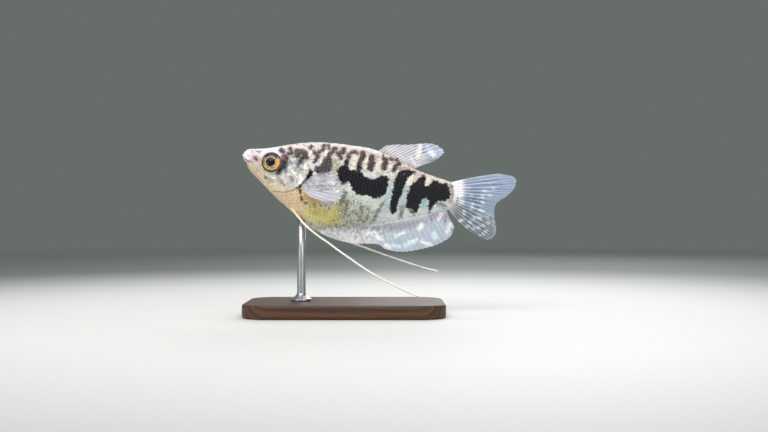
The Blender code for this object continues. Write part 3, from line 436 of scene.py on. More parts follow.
def flesh_at(stations):
    """The section values at these stations: cubics over the square root of the station, which rounds
    the snout."""
    table = np.asarray(FLESH_STATIONS, float)
    spacing, rows = np.sqrt(table[:, 0]), table[:, 1:]
    slopes = np.gradient(rows, spacing, axis=0)
    reach = np.sqrt(np.clip(stations, 0.0, FLESH_LENGTH))
    first = np.clip(np.searchsorted(spacing, reach, side="right") - 1, 0, len(rows) - 2)
    width = (spacing[first + 1] - spacing[first])[..., None]
    part = (reach - spacing[first])[..., None] / width
    return np.moveaxis(cubic(rows, slopes, first, part, width), -1, 0)


def swelling(x, z):
    """How far the cheek swells: a bell over the squared distance from each swelling's middle."""
    total = 0.0
    for middle_x, middle_z, height, reach_x, reach_z in SWELLINGS:
        far = ((x - middle_x) / reach_x) ** 2 + ((z - middle_z) / reach_z) ** 2
        total = total + height * bell(far, 1.0)
    return total


def body_point(x, angle, outset):
    """A point of the body: the section's height by the sine of the angle, its half width by the cosine
    to the narrowing power, both grown by outset. Behind the stalk it thins towards the tail fin."""
    top, bottom, half, level, narrow_up, narrow_down = flesh_at(x)
    rise, reach = np.sin(angle), np.cos(angle)
    height = np.where(rise > 0, top - level, level - bottom) + outset
    z = level + height * rise
    narrow = np.where(rise > 0, narrow_up, narrow_down)
    half = half * (1 - 0.42 * smooth(x, 59.5, FLESH_LENGTH))
    y = (half + outset + swelling(x, z)) * np.sign(reach) * np.abs(reach) ** narrow
    return np.stack([x + 0 * z, y, z], axis=-1)


def half_width(x, z):
    """The body's half width at a point of its side view: the section read at a height."""
    top, bottom, half, level, narrow_up, narrow_down = flesh_at(x)
    above = z > level
    rise = np.where(above, (z - level) / (top - level), (level - z) / (level - bottom))
    narrow = np.where(above, narrow_up, narrow_down)
    return (half + swelling(x, z)) * np.sqrt(np.clip(1 - np.minimum(rise, 1.0) ** 2, 0, 1)) ** narrow


def to_line(x, z, start, end):
    """Distance from points to one straight line piece."""
    run_x, run_z = end[0] - start[0], end[1] - start[1]
    length = max(run_x**2 + run_z**2, 1e-9)
    share = np.clip(((x - start[0]) * run_x + (z - start[1]) * run_z) / length, 0.0, 1.0)
    return np.hypot(x - start[0] - share * run_x, z - start[1] - share * run_z)


def outside_strokes(x, z, strokes):
    """How far points lie outside the nearest stroke, below zero inside it."""
    best = np.full(np.shape(x), FAR)
    for radius, *line in strokes:
        points = list(zip(line[::2], line[1::2]))
        for start, end in zip(points, points[1:]):
            best = np.minimum(best, to_line(x, z, start, end) - radius)
    return best


def near_strokes(x, z, fade, strokes):
    """1 on the strokes, eased to 0 over the fade outside them."""
    return 1 - smooth(outside_strokes(x, z, strokes), 0.0, fade)


def outside_patches(x, z, patches):
    """How far points lie outside the nearest outline, below zero inside it, by counting crossings."""
    best = np.full(np.shape(x), FAR)
    for outline in patches.values():
        points = list(zip(outline[::2], outline[1::2]))
        distance = np.full(np.shape(x), FAR)
        inside = np.zeros(np.shape(x), bool)
        for start, end in zip(points, points[1:] + points[:1]):
            distance = np.minimum(distance, to_line(x, z, start, end))
            if start[1] != end[1]:
                crossing = start[0] + (z - start[1]) * (end[0] - start[0]) / (end[1] - start[1])
                inside ^= ((start[1] > z) != (end[1] > z)) & (x < crossing)
        best = np.minimum(best, np.where(inside, -distance, distance))
    return best


def linear(colour):
    """A screen colour from 0 to 255 as the light that it stands for."""
    share = np.asarray(colour, float) / 255.0
    return np.where(share <= 0.04045, share / 12.92, ((share + 0.055) / 1.055) ** 2.4)


def ground(x, z, tones):
    """The colour under the markings: each tone laid over the last, fading beyond its strokes."""
    (first,), *others = tones.values()
    colour = np.ones(np.shape(x) + (3,)) * linear(first)
    for shade, fade, *strokes in others:
        share = near_strokes(x, z, fade, strokes)[..., None]
        colour = colour * (1 - share) + linear(shade) * share
    return colour


def back_highlight_and_blotches(x, z, colour):
    """The painted highlight along the rim of the back, and blotches on its ridge where the side view hardly
    shows it.
    """
    top = flesh_at(x)[0]
    # Painted highlight: the back paled towards its top line, from behind the snout.
    rim = (bell(top - z, 0.7) * smooth(x, 2.0, 5.0))[:, None] * RIM_HIGHLIGHT_STRENGTH
    colour = colour * (1 - rim) + linear(RIM_HIGHLIGHT_TONE) * rim
    ridge = (1 - smooth(top - z, 0.05, 0.55)) * smooth(x, 7.0, 15.0) * RIDGE_STRENGTH
    ridge = (ridge * (0.55 + 0.45 * np.sin(1.9 * x + 0.8 * np.sin(0.7 * x))))[:, None]
    return colour * (1 - ridge) + linear(RIDGE_TONE) * ridge


def markings(points, wears):
    """The attributes that paint a piece, worked out from where its points lie on the fish's side.

    The right side is the left one drawn a little differently: waves slide the strokes by up to
    0.9 mm, and die out towards the ridge lines where the sides meet."""
    x, y, z = points.T
    away = smooth(y, 0.4, 1.8)
    slide_x = 0.55 * np.sin(0.9 * z + 0.6) + 0.35 * np.sin(0.45 * x)
    slide_z = 0.45 * np.sin(0.55 * x + 1.0)
    x, z = x + away * slide_x, z + away * slide_z
    marks = {name: outside_strokes(x, z, wears[name]) for name in ("black", "pale", "cyan", "smoke")}
    marks["black"] = np.minimum(marks["black"], outside_patches(x, z, wears["patches"]))
    marks["dusk"] = outside_patches(x, z, wears["dusk"])
    marks["brown"] = outside_strokes(x, z, BROWN_STROKES) - BAR_SPREAD
    marks["deep"] = (1 - smooth(z, 3.0, 6.4)) * smooth(x, 19.0, 26.0)
    marks["hatch"] = near_strokes(x, z, 2.5, wears["hatch"])
    marks["mottle"] = near_strokes(x, z, 2.0, CLOUDED)
    marks["upper"] = near_strokes(x, z, 1.6, FLECKED)
    marks["ground"] = ground(x, z, wears["tones"])
    if wears is ON_FLESH:
        marks["ground"] = back_highlight_and_blotches(x, z, marks["ground"])
    return marks


def give(mesh, name, values):
    """One value or colour for each point, stored on the mesh under a name that materials read."""
    values = np.asarray(values, float)
    if values.ndim == 2:
        layer = mesh.attributes.new(name, "FLOAT_COLOR", "POINT")
        values = np.hstack([values, np.ones((len(values), 1))])
        layer.data.foreach_set("color", values.astype(np.float32).ravel())
    else:
        layer = mesh.attributes.new(name, "FLOAT", "POINT")
        layer.data.foreach_set("value", values.astype(np.float32))


def turned_outwards(points, faces):
    """The faces of a closed mesh, all turned round when the volume that they enclose is below zero."""
    a, b, c, d = np.moveaxis(points[faces], 1, 0)
    if (a * (np.cross(b, c) + np.cross(c, d))).sum() > 0:
        return faces
    is_triangle = (faces[:, 2] == faces[:, 3])[:, None]
    return np.where(is_triangle, faces[:, [0, 2, 1, 1]], faces[:, ::-1])


def in_scene(name, data):
    """An object of this data, linked into the scene."""
    made = bpy.data.objects.new(name, data)
    bpy.context.scene.collection.objects.link(made)
    return made


def make_mesh(name, points, faces, finish):
    """A smooth mesh of metres and four-sided faces. A face that names its last point twice is made
    a triangle."""
    triangles = faces[:, 2] == faces[:, 3]
    corners = np.concatenate([faces[~triangles].ravel(), faces[triangles][:, :3].ravel()])
    sizes = np.repeat([4, 3], [(~triangles).sum(), triangles.sum()])
    starts = np.cumsum(sizes) - sizes
    mesh = bpy.data.meshes.new(name)
    mesh.vertices.add(len(points))
    mesh.vertices.foreach_set("co", points.astype(np.float32).ravel())
    mesh.loops.add(len(corners))
    mesh.loops.foreach_set("vertex_index", corners.astype(np.int32))
    mesh.polygons.add(len(sizes))
    mesh.polygons.foreach_set("loop_start", starts.astype(np.int32))
    mesh.polygons.foreach_set("loop_total", sizes.astype(np.int32))
    mesh.update(calc_edges=True)
    mesh.validate()
    mesh.shade_smooth()
    mesh.materials.append(finish)
    return mesh


def make_piece(name, points, faces, finish, replaced, attributes=None, in_world=False):
    """A closed piece of fish points, or of the world's, riding on the body."""
    placed = points * MM if in_world else to_model(points)
    mesh = make_mesh(name, placed, turned_outwards(points, faces), finish)
    for attribute, values in (attributes or {}).items():
        give(mesh, attribute, values)
    piece = in_scene(name, mesh)
    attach(piece, "root")
    if replaced:
        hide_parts(*replaced)
    return piece


def sheet_faces(rows, columns, closed=False, flip=False):
    """The faces of a grid of points, rows by columns, its columns joined round when closed."""
    spans = columns if closed else columns - 1
    i, j = np.meshgrid(np.arange(rows - 1), np.arange(spans), indexing="ij")
    here, after = i * columns + j, i * columns + (j + 1) % columns
    faces = np.stack([here, after, after + columns, here + columns], axis=-1).reshape(-1, 4)
    return faces[:, ::-1] if flip else faces


def fan_faces(pole, ring, flip=False):
    """Triangles from one point to a ring of points, as faces that name their last point twice."""
    after = np.roll(ring, -1)
    near, far = (after, ring) if flip else (ring, after)
    return np.stack([np.full(len(ring), pole), near, far, far], axis=-1)


def closed_rings(rings, first, last):
    """Points and faces of a stack of rings, closed by a point before the first and one after the last."""
    count, sides = rings.shape[:2]
    ring = np.arange(sides)
    faces = [
        sheet_faces(count, sides, closed=True),
        fan_faces(count * sides, ring, flip=True),
        fan_faces(count * sides + 1, ring + (count - 1) * sides),
    ]
    return np.vstack([rings.reshape(-1, 3), first, last]), np.vstack(faces)


class Signal:
    """A node's output. Sums with numbers and other signals add maths nodes to its tree."""

    def __init__(self, tree, socket):
        self.tree = tree
        self.socket = socket

    def reckon(self, operation, other):
        """One sum of this and another value."""
        return self.tree.wired("ShaderNodeMath", {0: self, 1: other}, operation=operation)

    def __add__(self, other):
        return self.reckon("ADD", other)

    def __sub__(self, other):
        return self.reckon("SUBTRACT", other)

    def __mul__(self, other):
        return self.reckon("MULTIPLY", other)

    def most(self, other):
        """The larger of the two."""
        return self.reckon("MAXIMUM", other)

    def ease(self, low, high, start=0.0, end=1.0):
        """The value eased from start at low to end at high."""
        inputs = dict(enumerate((self, low, high, start, end)))
        return self.tree.wired("ShaderNodeMapRange", inputs, interpolation_type="SMOOTHSTEP")


class Tree:
    """A tree of shader nodes, and short ways to add them."""

    def __init__(self, data):
        self.data = data

    def node(self, kind, **settings):
        """A node of this kind with its settings."""
        made = self.data.nodes.new(kind)
        for name, value in settings.items():
            setattr(made, name, value)
        return made

    def feed(self, socket, value):
        """A signal, a colour or other row of numbers, or a number into a socket."""
        if isinstance(value, Signal):
            self.data.links.new(value.socket, socket)
        elif isinstance(value, tuple):
            socket.default_value = (*value, 1.0) if socket.type == "RGBA" else value
        else:
            socket.default_value = value

    def wired(self, kind, inputs, output=0, **settings):
        """The output of a new node, its inputs fed by name or number."""
        made = self.node(kind, **settings)
        for key, value in inputs.items():
            self.feed(made.inputs[key], value)
        return Signal(self, made.outputs[output])

    def mix(self, share, first, second, blend="MIX"):
        """Two colours mixed by a share."""
        inputs = {0: share, 6: first, 7: second}
        return self.wired("ShaderNodeMix", inputs, 2, data_type="RGBA", blend_type=blend)

    def dimmed(self, colour, by):
        """A colour multiplied by another."""
        return self.mix(1.0, colour, by, "MULTIPLY")

    def read(self, name, output="Fac"):
        """A named attribute of the mesh."""
        return self.wired("ShaderNodeAttribute", {}, output, attribute_name=name)

    def place(self):
        """The object's own coordinates."""
        return self.wired("ShaderNodeTexCoord", {}, "Object")

    def stretched(self, scale, turn=(0.0, 0.0, 0.0)):
        """The object's own coordinates, turned and scaled."""
        inputs = {"Vector": self.place(), "Scale": scale, "Rotation": turn}
        return self.wired("ShaderNodeMapping", inputs)

    def noise(self, where, scale, detail=3.0, roughness=0.55):
        """Noise at these coordinates, scale being patches a metre."""
        inputs = {"Vector": where, "Scale": scale, "Detail": detail, "Roughness": roughness}
        return self.wired("ShaderNodeTexNoise", inputs, "Fac")

    def bands(self, axis, inputs):
        """Waves in bands across an axis."""
        return self.wired("ShaderNodeTexWave", inputs, "Fac", wave_type="BANDS", bands_direction=axis)

    def brightness(self, colour):
        """How bright a colour is."""
        return self.wired("ShaderNodeRGBToBW", {0: colour})

    def bump(self, height, distance, strength):
        """A normal from a height; distance in metres."""
        inputs = {"Strength": strength, "Distance": distance, "Height": height}
        return self.wired("ShaderNodeBump", inputs, "Normal")


def tone(red, green, blue):
    """A screen colour from 0 to 255 as a socket takes it."""
    return tuple(float(v) for v in linear((red, green, blue)))


def new_group(name, inputs, outputs):
    """A shader group with inputs of these first values: its tree, its inputs and its outputs."""
    tree = Tree(bpy.data.node_groups.new(name, "ShaderNodeTree"))
    sockets = tree.data.interface
    for label, value in inputs.items():
        socket = sockets.new_socket(label, in_out="INPUT", socket_type="NodeSocketFloat")
        socket.default_value = value
    for label, kind in outputs.items():
        sockets.new_socket(label, in_out="OUTPUT", socket_type=kind)
    entry = tree.node("NodeGroupInput")
    given = {label: Signal(tree, entry.outputs[label]) for label in inputs}
    return tree, given, tree.node("NodeGroupOutput").inputs


def make_ragged_group():
    """Turns a distance to a marking's edge into a mask. Noise makes the edge uneven, and each scale
    shifts it by a chance of its own, so that the edge steps from scale to scale."""
    tree, given, out = new_group(
        "ragged marking",
        {"Distance": 1.0, "Ragged": 0.5, "Soft": 0.15, "Grain": 1400.0, "Scale Shift": 0.4},
        {"Mask": "NodeSocketFloat"},
    )
    coarse = tree.noise(tree.place(), given["Grain"], 4.0, 0.6)
    uneven = (coarse - 0.5) * given["Ragged"] * 2.0 + given["Distance"]
    uneven = tree.read("own") * given["Scale Shift"] + uneven
    tree.feed(out["Mask"], uneven.ease(given["Soft"] * -1.0, given["Soft"], 1.0, 0.0))
    return tree.data


def make_opaline_group(ragged):
    """The fish's colours: ground tone, mottling, brown bars, black patches with painted shade in the gill
    slit, mouth line and nostrils, and pale spots with a painted highlight on the snout, laid in turn.
    """
    tree, given, out = new_group(
        "opaline colours",
        {"Grain Strength": 1.0, "Spot Softness": 0.2, "Smoke Softness": 0.55},
        {"Colour": "NodeSocketColor", "Dark": "NodeSocketFloat"},
    )

    def mask(name, rough, soft, grain):
        inputs = {"Distance": tree.read(name), "Ragged": rough, "Soft": soft, "Grain": grain}
        return tree.wired("ShaderNodeGroup", inputs, "Mask", node_tree=ragged)

    where = tree.place()
    base = tree.read("ground", "Color")
    lit = tree.brightness(base).ease(0.1, 0.4)
    strength = given["Grain Strength"]
    fine = tree.noise(where, 2600.0, 3.0, 0.65)
    broad = tree.noise(where, 420.0).ease(0.4, 0.7, 0.0, 0.35)
    base = tree.mix(broad * strength, base, tree.dimmed(base, (0.74, 0.72, 0.74)))
    base = tree.mix(fine.ease(0.52, 0.72, 0.0, 0.45) * lit * strength, base, (0.86, 0.86, 0.84))
    dents = fine.ease(0.48, 0.3, 0.0, 0.35) * strength
    base = tree.mix(dents, base, tree.dimmed(base, (0.55, 0.5, 0.5)))
    # The cheek is clouded with grey and with silver-cream.
    clouds = tree.noise(where, 980.0, 4.0, 0.62)
    mottle = tree.read("mottle")
    base = tree.mix(clouds.ease(0.52, 0.36) * mottle * 0.52, base, tone(116, 116, 118))
    base = tree.mix(clouds.ease(0.53, 0.63) * mottle * lit * 0.5, base, tone(246, 242, 232))
    # The upper flank has faint brown flecks between its bars, and pale ones.
    flecks = tree.noise(where, 1250.0, 3.0, 0.6)
    upper = tree.read("upper")
    base = tree.mix(flecks.ease(0.51, 0.6) * upper * 0.5, base, tone(112, 84, 76))
    base = tree.mix(flecks.ease(0.47, 0.38) * upper * 0.6, base, tone(240, 230, 220))
    # The belly is hatched with dots, drawn out upwards.
    dots = tree.noise(tree.stretched((1.5, 1.0, 0.62)), 1750.0, 2.0, 0.65)
    base = tree.mix(dots.ease(0.5, 0.61) * tree.read("hatch") * 0.8, base, tone(82, 80, 70))
    smoke = mask("smoke", 1.0, given["Smoke Softness"], 1300.0)
    base = tree.mix(smoke * 0.78, base, tone(74, 82, 84))
    bar = tree.mix(tree.read("deep"), tone(50, 31, 28), tone(22, 19, 26))
    bar = tree.mix(fine.ease(0.5, 0.7, 0.0, 0.16), bar, tone(136, 106, 100))
    brown = mask("brown", 0.7, 0.42, 1250.0)
    base = tree.mix(brown * flecks.ease(0.62, 0.42, 0.9, 0.98), base, bar)
    dusk = mask("dusk", 1.0, 0.35, 1250.0)
    soot = tree.mix(flecks.ease(0.4, 0.62), tone(18, 17, 20), tone(56, 46, 46))
    base = tree.mix(dusk * 0.94, base, soot)
    base = tree.mix(mask("cyan", 0.5, given["Spot Softness"], 1600.0) * 0.85, base, tone(214, 240, 240))
    # Black marks, which also carry the painted shade of the gill slit, the mouth line and the nostril pits.
    black = mask("black", 0.75, 0.32, 1300.0)
    black_and_shade_tone = tree.mix(flecks.ease(0.45, 0.75), tone(2, 4, 10), tone(14, 15, 26))
    base = tree.mix(black * 0.985, base, black_and_shade_tone)
    # Pale flecks, and the painted highlight on the front of the snout.
    base = tree.mix(mask("pale", 0.9, given["Spot Softness"], 1500.0) * 0.88, base, tone(248, 247, 244))
    tree.feed(out["Colour"], base)
    tree.feed(out["Dark"], black.most(brown.most(dusk) * 0.7))
    return tree.data


def new_finish(name, looks, *given, **settings):
    """A material with one Principled shader, whose inputs are what looks(tree, ...) gives."""
    made = bpy.data.materials.new(name)
    made.use_nodes = True
    tree = Tree(made.node_tree)
    tree.data.nodes.clear()
    shader = tree.wired("ShaderNodeBsdfPrincipled", looks(tree, *given, **settings))
    tree.feed(tree.node("ShaderNodeOutputMaterial").inputs[0], shader)
    return made


def skin_looks(tree, opaline, on_scales):
    """Wet-looking painted skin, or the scales over it, whose raised rims carry a painted highlight, with
    painted shade where each scale tucks under its neighbour and along its very free edge.
    """
    colours = tree.node("ShaderNodeGroup", node_tree=opaline)
    colour, dark = [Signal(tree, colours.outputs[name]) for name in ("Colour", "Dark")]
    where = tree.place()
    if on_scales:
        rim = tree.read("rim")
        # Painted highlight on the raised band before each scale's free edge, weaker over dark marks.
        edge = rim.ease(0.55, 0.84) - rim.ease(0.88, 0.98)
        colour = tree.dimmed(colour, tree.read("own") * 0.22 + 1.0)
        colour = tree.mix(edge * (dark * -0.15 + 0.17), colour, tone(244, 244, 244))
        # Painted shade where the scale's front tucks under its neighbour and at its very free edge.
        tuck_shade = rim.ease(0.5, 0.1, 0.0, 0.28).most(rim.ease(0.9, 1.0, 0.0, 0.26))
        colour = tree.mix(tuck_shade, colour, tree.dimmed(colour, (0.5, 0.48, 0.5)))
    return {
        "Base Color": colour,
        "Roughness": dark * -0.12 + tree.noise(where, 900.0, 2.0).ease(0.3, 0.7, 0.34, 0.5),
        "Specular IOR Level": dark * -0.13 + 0.25,
        "Coat Weight": dark * -0.12 + 0.14,
        "Coat Roughness": 0.12,
        "Normal": tree.bump(tree.noise(where, 5200.0, 3.0, 0.6), 0.00006, 0.5),
    }


def fin_looks(tree, opaline, solid_alpha=0.72, tip=0.72, edge_paint=0.2, grain=0.6, spots=0.5):
    """Fin skin: pale rays, brightened by a painted highlight along their ridges, over a darker, thinner
    membrane, with the same kind of spots and patches.
    solid_alpha is the share of light that the membrane stops, tip what is left of it at the edge."""
    inputs = {"Grain Strength": grain, "Spot Softness": spots, "Smoke Softness": 0.4}
    colour = tree.wired("ShaderNodeGroup", inputs, "Colour", node_tree=opaline)
    bright = tree.brightness(colour)
    ray, veil = tree.read("ray"), tree.read("veil")
    where = tree.place()
    streak = tree.noise(where, 1900.0, 3.0, 0.6)
    gap = ray.ease(0.5, 0.1) * veil * bright.ease(0.62, 0.85, 1.0, 0.25)
    gap = gap * streak.ease(0.3, 0.6, 0.4, 1.0) * tree.noise(where, 240.0).ease(0.36, 0.62, 0.45, 1.0)
    colour = tree.mix(gap, colour, tree.dimmed(colour, (0.34, 0.34, 0.4)))
    # Pale rays, brightened further by a painted highlight along their raised ridges.
    colour = tree.mix(ray.ease(0.55, 1.0) * veil * 0.5, colour, tone(238, 240, 246))
    colour = tree.mix(tree.read("margin") * edge_paint, colour, tone(240, 236, 242))
    solid = ray.ease(0.1, 0.7, solid_alpha, 1.0) * tree.read("outward").ease(0.5, 1.0, 1.0, tip)
    joints = tree.bands("X", {"Vector": where, "Scale": 380.0, "Distortion": 2.0})
    return {
        "Base Color": colour,
        "Alpha": solid.most(bright.ease(0.72, 0.9, 0.0, 0.92)).most(tree.read("fleshy")),
        "Roughness": 0.42,
        "Specular IOR Level": 0.3,
        "Coat Weight": 0.15,
        "Coat Roughness": 0.15,
        "Normal": tree.bump(streak * 0.5 + joints * ray * veil, 0.00005, 0.5),
    }


def eye_looks(tree):
    """Painted iris rings under a clear gloss: pupil, cream-gold ring, bronze, and a dark rim."""
    fleck = tree.noise(tree.place(), 2600.0, 3.0, 0.6)
    wobble = (fleck - 0.5) * 0.4
    pupil = tree.read("pupil") + wobble
    colour = tree.mix(fleck.ease(0.38, 0.62), tone(88, 74, 48), tone(156, 136, 94))
    for name, share, paint in (
        ("cream", 0.75, (206, 190, 150)), ("orange", 0.88, (226, 166, 104)),
        ("salmon", 0.7, (208, 150, 126)), ("shade", 0.93, (26, 24, 18)),
    ):
        colour = tree.mix(tree.read(name) * share, colour, tone(*paint))
    gold = tree.mix(fleck.ease(0.35, 0.65), tone(140, 120, 82), tone(212, 197, 160))
    colour = tree.mix(pupil.ease(1.84, 1.6), colour, gold)
    colour = tree.mix(pupil.ease(1.5, 1.4), colour, tone(92, 70, 40))
    rim = (tree.read("iris") + wobble).ease(2.4, 2.62)
    colour = tree.mix(rim * tree.read("orange").ease(0.0, 0.6, 0.92, 0.4), colour, tone(50, 40, 32))
    return {
        "Base Color": tree.mix(tree.read("pupil").ease(1.3, 1.18), colour, (0.003, 0.003, 0.005)),
        "Roughness": fleck.ease(0.3, 0.7, 0.22, 0.36),
        "Specular IOR Level": 0.2,
        "Coat Weight": 0.1,
        "Coat Roughness": 0.03,
        "Normal": tree.bump(fleck, 0.00004, 0.35),
    }


def feeler_looks(tree):
    """Ivory thread, a little warmer in places."""
    where = tree.place()
    patches = tree.noise(where, 300.0)
    colour = tree.mix(patches.ease(0.35, 0.7), tone(253, 252, 247), tone(240, 233, 212))
    return {
        "Base Color": tree.mix(tree.read("root"), colour, tone(224, 198, 150)),
        "Roughness": patches.ease(0.3, 0.7, 0.3, 0.45),
        "Coat Weight": 0.2,
        "Normal": tree.bump(tree.noise(where, 2400.0), 0.00005, 0.4),
    }


def wood_looks(tree):
    """Dark oiled hardwood: rings stretched along X, pores, and a satin finish."""
    where = tree.stretched((0.1, 1.0, 1.0), (0.5, 0.02, 0.04))
    rings = tree.bands("Y", {"Vector": where, "Scale": 230.0, "Distortion": 7.0, "Detail": 4.0})
    grain = tree.noise(where, 160.0) * 0.22 + rings * 0.28
    grain = tree.noise(where, 1300.0, 3.0, 0.7) * 0.5 + grain
    pores = tree.noise(where, 2600.0, 2.0, 0.7)
    colour = tree.mix(grain.ease(0.3, 0.75), tone(60, 40, 29), tone(92, 62, 43))
    return {
        "Base Color": tree.mix(pores.ease(0.6, 0.72, 0.0, 0.6), colour, tone(30, 20, 15)),
        "Roughness": grain.ease(0.2, 0.8, 0.45, 0.6),
        "Specular IOR Level": 0.3,
        "Coat Weight": 0.06,
        "Coat Roughness": 0.25,
        "Normal": tree.bump(grain - pores, 0.00008, 0.35),
    }


def steel_looks(tree):
    """Brushed steel: fine rings round the rod, as its turning leaves them."""
    lines = tree.noise(tree.stretched((0.08, 0.08, 1.0)), 9000.0, 3.0, 0.7)
    return {
        "Base Color": tree.mix(lines, tone(150, 152, 155), tone(192, 194, 197)),
        "Metallic": 1.0,
        "Roughness": lines.ease(0.3, 0.7, 0.26, 0.42),
        "Normal": tree.bump(lines, 0.00002, 0.15),
    }


def floor_looks(tree):
    """A pale floor round the stand, a painted pool of light that darkens outwards to the backdrop's colour
    and then fades out, all round.
    """
    out = tree.wired("ShaderNodeVectorMath", {0: tree.place()}, "Value", operation="LENGTH")
    return {
        # Painted pool of light: pale near the middle, darker outwards to the backdrop's colour.
        "Base Color": tree.mix(out.ease(0.09, 0.3), (0.62, 0.62, 0.6), BACKDROP),
        "Alpha": out.ease(0.2, 0.8, 1.0, 0.0),
        "Roughness": 0.7,
    }


def rolls(distance, table):
    """The sum of bells: each row gives the middle, the height and the reach of one."""
    return sum(height * bell(distance - middle, reach) for middle, height, reach in table)


def relief(x, y, z):
    """How far the head's forms stand out from the plain body, in millimetres.

    The lips are two rolls beside the mouth line with a groove between; nostrils are pits with low
    rims; the eye sits in a socket inside a low rim; two grooves bound the cheek and the jaw, a low
    fold makes the brow, and the flesh swells where the feeler starts."""
    slope = (MOUTH_CORNER[1] - MOUTH_TIP[1]) / (MOUTH_CORNER[0] - MOUTH_TIP[0])
    above = z - MOUTH_TIP[1] - slope * (x - MOUTH_TIP[0])
    there = 1 - smooth(x, MOUTH_CORNER[0] - 0.7, MOUTH_CORNER[0] + 0.3)
    lips = rolls(above, LIP_ROLLS) * there * (0.55 + 0.45 * smooth(x, 0.0, 0.9))
    sides = 0.0
    for pit_x, pit_z, radius in NOSTRILS:
        far = np.hypot(x - pit_x, z - pit_z)
        sides = sides - 0.42 * bell(far, radius * 0.75) + 0.12 * bell(far - radius * 1.35, 0.14)
    far = np.hypot(x - EYE_PLACE[0], z - EYE_PLACE[2]) - EYE_RADIUS
    sides = sides - SOCKET_DEPTH * (1 - smooth(far, -0.35, 0.1)) + rolls(far, SOCKET_ROLLS)
    for height, reach, line in HEAD_FOLDS:
        sides = sides + height * bell(outside_strokes(x, z, (line,)), reach)
    root_x, _, root_z = NEAR_FEELER[0]
    sides = sides + 0.34 * bell(np.hypot((x - root_x - 0.8) * 0.75, z - root_z + 0.8), 0.8)
    return lips + sides * smooth(np.abs(y), 0.15, 0.5)


def make_skin(finish):
    """One closed skin from lips to tail root: sections along X, with the head's forms added along the
    normal, closed by a dome at the snout and a flat point at the tail."""
    stations = [np.linspace(*stretch, endpoint=False) for stretch in SKIN_STRETCHES]
    stations = np.append(np.concatenate(stations), SKIN_END)
    angle = np.linspace(0.0, 2 * math.pi, SKIN_SIDES, endpoint=False) + 0.5 * math.pi
    x, turn = np.meshgrid(stations, angle, indexing="ij")
    points = body_point(x, turn, -SKIN_INSET)
    share = np.linspace(0.06, 0.96, DOME_ROWS)[:, None, None]
    middle = points[0].mean(axis=0)
    dome = middle + (points[0] - middle) * share
    dome[..., :1] -= TIP_BULGE * (1 - share**2)
    points = np.concatenate([dome, points], axis=0)
    along = np.gradient(points, axis=0)
    across = np.roll(points, -1, axis=1) - np.roll(points, 1, axis=1)
    normal = np.cross(across, along)
    normal /= np.maximum(np.linalg.norm(normal, axis=-1, keepdims=True), 1e-9)
    if (normal[len(normal) // 2, :, 1] * points[len(points) // 2, :, 1]).sum() < 0:
        normal = -normal
    points = points + normal * relief(*np.moveaxis(points, -1, 0))[..., None]
    ends = points[0].mean(axis=0), points[-1].mean(axis=0) + [0.15, 0.0, 0.0]
    flat, faces = closed_rings(points, *ends)
    make_piece("skin", flat, faces, finish, ("head", "trunk", "tail_stalk"), markings(flat, ON_FLESH))


def make_gill_flap(side, word, finish):
    """A gill flap: a sheet from its front line to its free edge, lifted from the cheek towards the
    edge, rolled over the edge and closed underneath."""
    edge = through(GILL_EDGE, np.linspace(0.02, 0.9, FLAP_ROWS))
    front = through(GILL_FRONT[::-1], np.linspace(0.0, 1.0, FLAP_ROWS))
    across = np.linspace(0.0, 1.0, FLAP_COLUMNS) ** 0.85
    plan = front[:, None, :] + (edge - front)[:, None, :] * across[None, :, None]
    share = np.broadcast_to(across[None, :], plan.shape[:2])
    ends = np.sin(np.linspace(0.0, math.pi, FLAP_ROWS))[:, None] ** 0.5
    lift = -FLAP_ROOT_DEPTH + (FLAP_LIFT + FLAP_ROOT_DEPTH) * smooth(share, 0.0, 0.45) * ends
    lift = lift - 0.1 * bell(share - 0.78, 0.05) - 0.16 * smooth(share, 0.94, 1.0)
    x, z = plan[..., 0], plan[..., 1]
    outer = np.stack([x, side * (half_width(x, z) + lift), z], axis=-1)
    under = outer[:, ::-1].copy()
    under[..., 1] -= side * (0.14 + 0.35 * (1 - share[:, ::-1]))
    loop = np.concatenate([outer, under], axis=1)
    flat, faces = closed_rings(loop, loop[0].mean(axis=0), loop[-1].mean(axis=0))
    marks = markings(flat, ON_FLESH)
    make_piece("gill_flap_" + word, flat, faces, finish, ("gill_cover_" + word,), marks)


class Girth:
    """Where a distance round the body lies: for each station the angle at which the surface is so far
    from the widest line, read from a table of summed steps."""

    def __init__(self):
        stations, turns, shares = GIRTH_GRID
        self.stations = np.linspace(6.0, 63.4, stations)
        angles = np.linspace(-0.5 * math.pi, 0.5 * math.pi, turns)
        x, turn = np.meshgrid(self.stations, angles, indexing="ij")
        steps = np.linalg.norm(np.diff(body_point(x, turn, -SKIN_INSET), axis=1), axis=-1)
        length = np.concatenate([np.zeros((len(x), 1)), np.cumsum(steps, axis=1)], axis=1)
        middle = turns // 2
        length -= length[:, middle : middle + 1]
        self.down, self.up = -length[:, 0], length[:, -1]
        self.shares = np.linspace(-1.0, 1.0, shares)
        reach = np.where(self.shares > 0, self.up[:, None], self.down[:, None]) * self.shares
        self.table = np.stack([np.interp(row, own, angles) for row, own in zip(reach, length)])

    def edges(self, x):
        """How far the back and the belly lie from the widest line."""
        return np.interp(x, self.stations, self.up), np.interp(x, self.stations, self.down)

    def share(self, x, distance):
        """The distance as a share of the way from the widest line to the back or the belly."""
        up, down = self.edges(x)
        return np.clip(distance / np.where(distance > 0, up, down), -1.0, 1.0)

    def point(self, x, distance, lift):
        """The surface point there, lifted outwards."""
        across = (self.share(x, distance) + 1) * 0.5 * (len(self.shares) - 1)
        step = self.stations[1] - self.stations[0]
        along = np.clip((x - self.stations[0]) / step, 0, len(self.stations) - 1.001)
        i, j = along.astype(int), np.minimum(across.astype(int), len(self.shares) - 2)
        p, q = along - i, across - j
        near = self.table[i, j] * (1 - p) + self.table[i + 1, j] * p
        far = self.table[i, j + 1] * (1 - p) + self.table[i + 1, j + 1] * p
        return body_point(x, near * (1 - q) + far * q, -SKIN_INSET + lift)


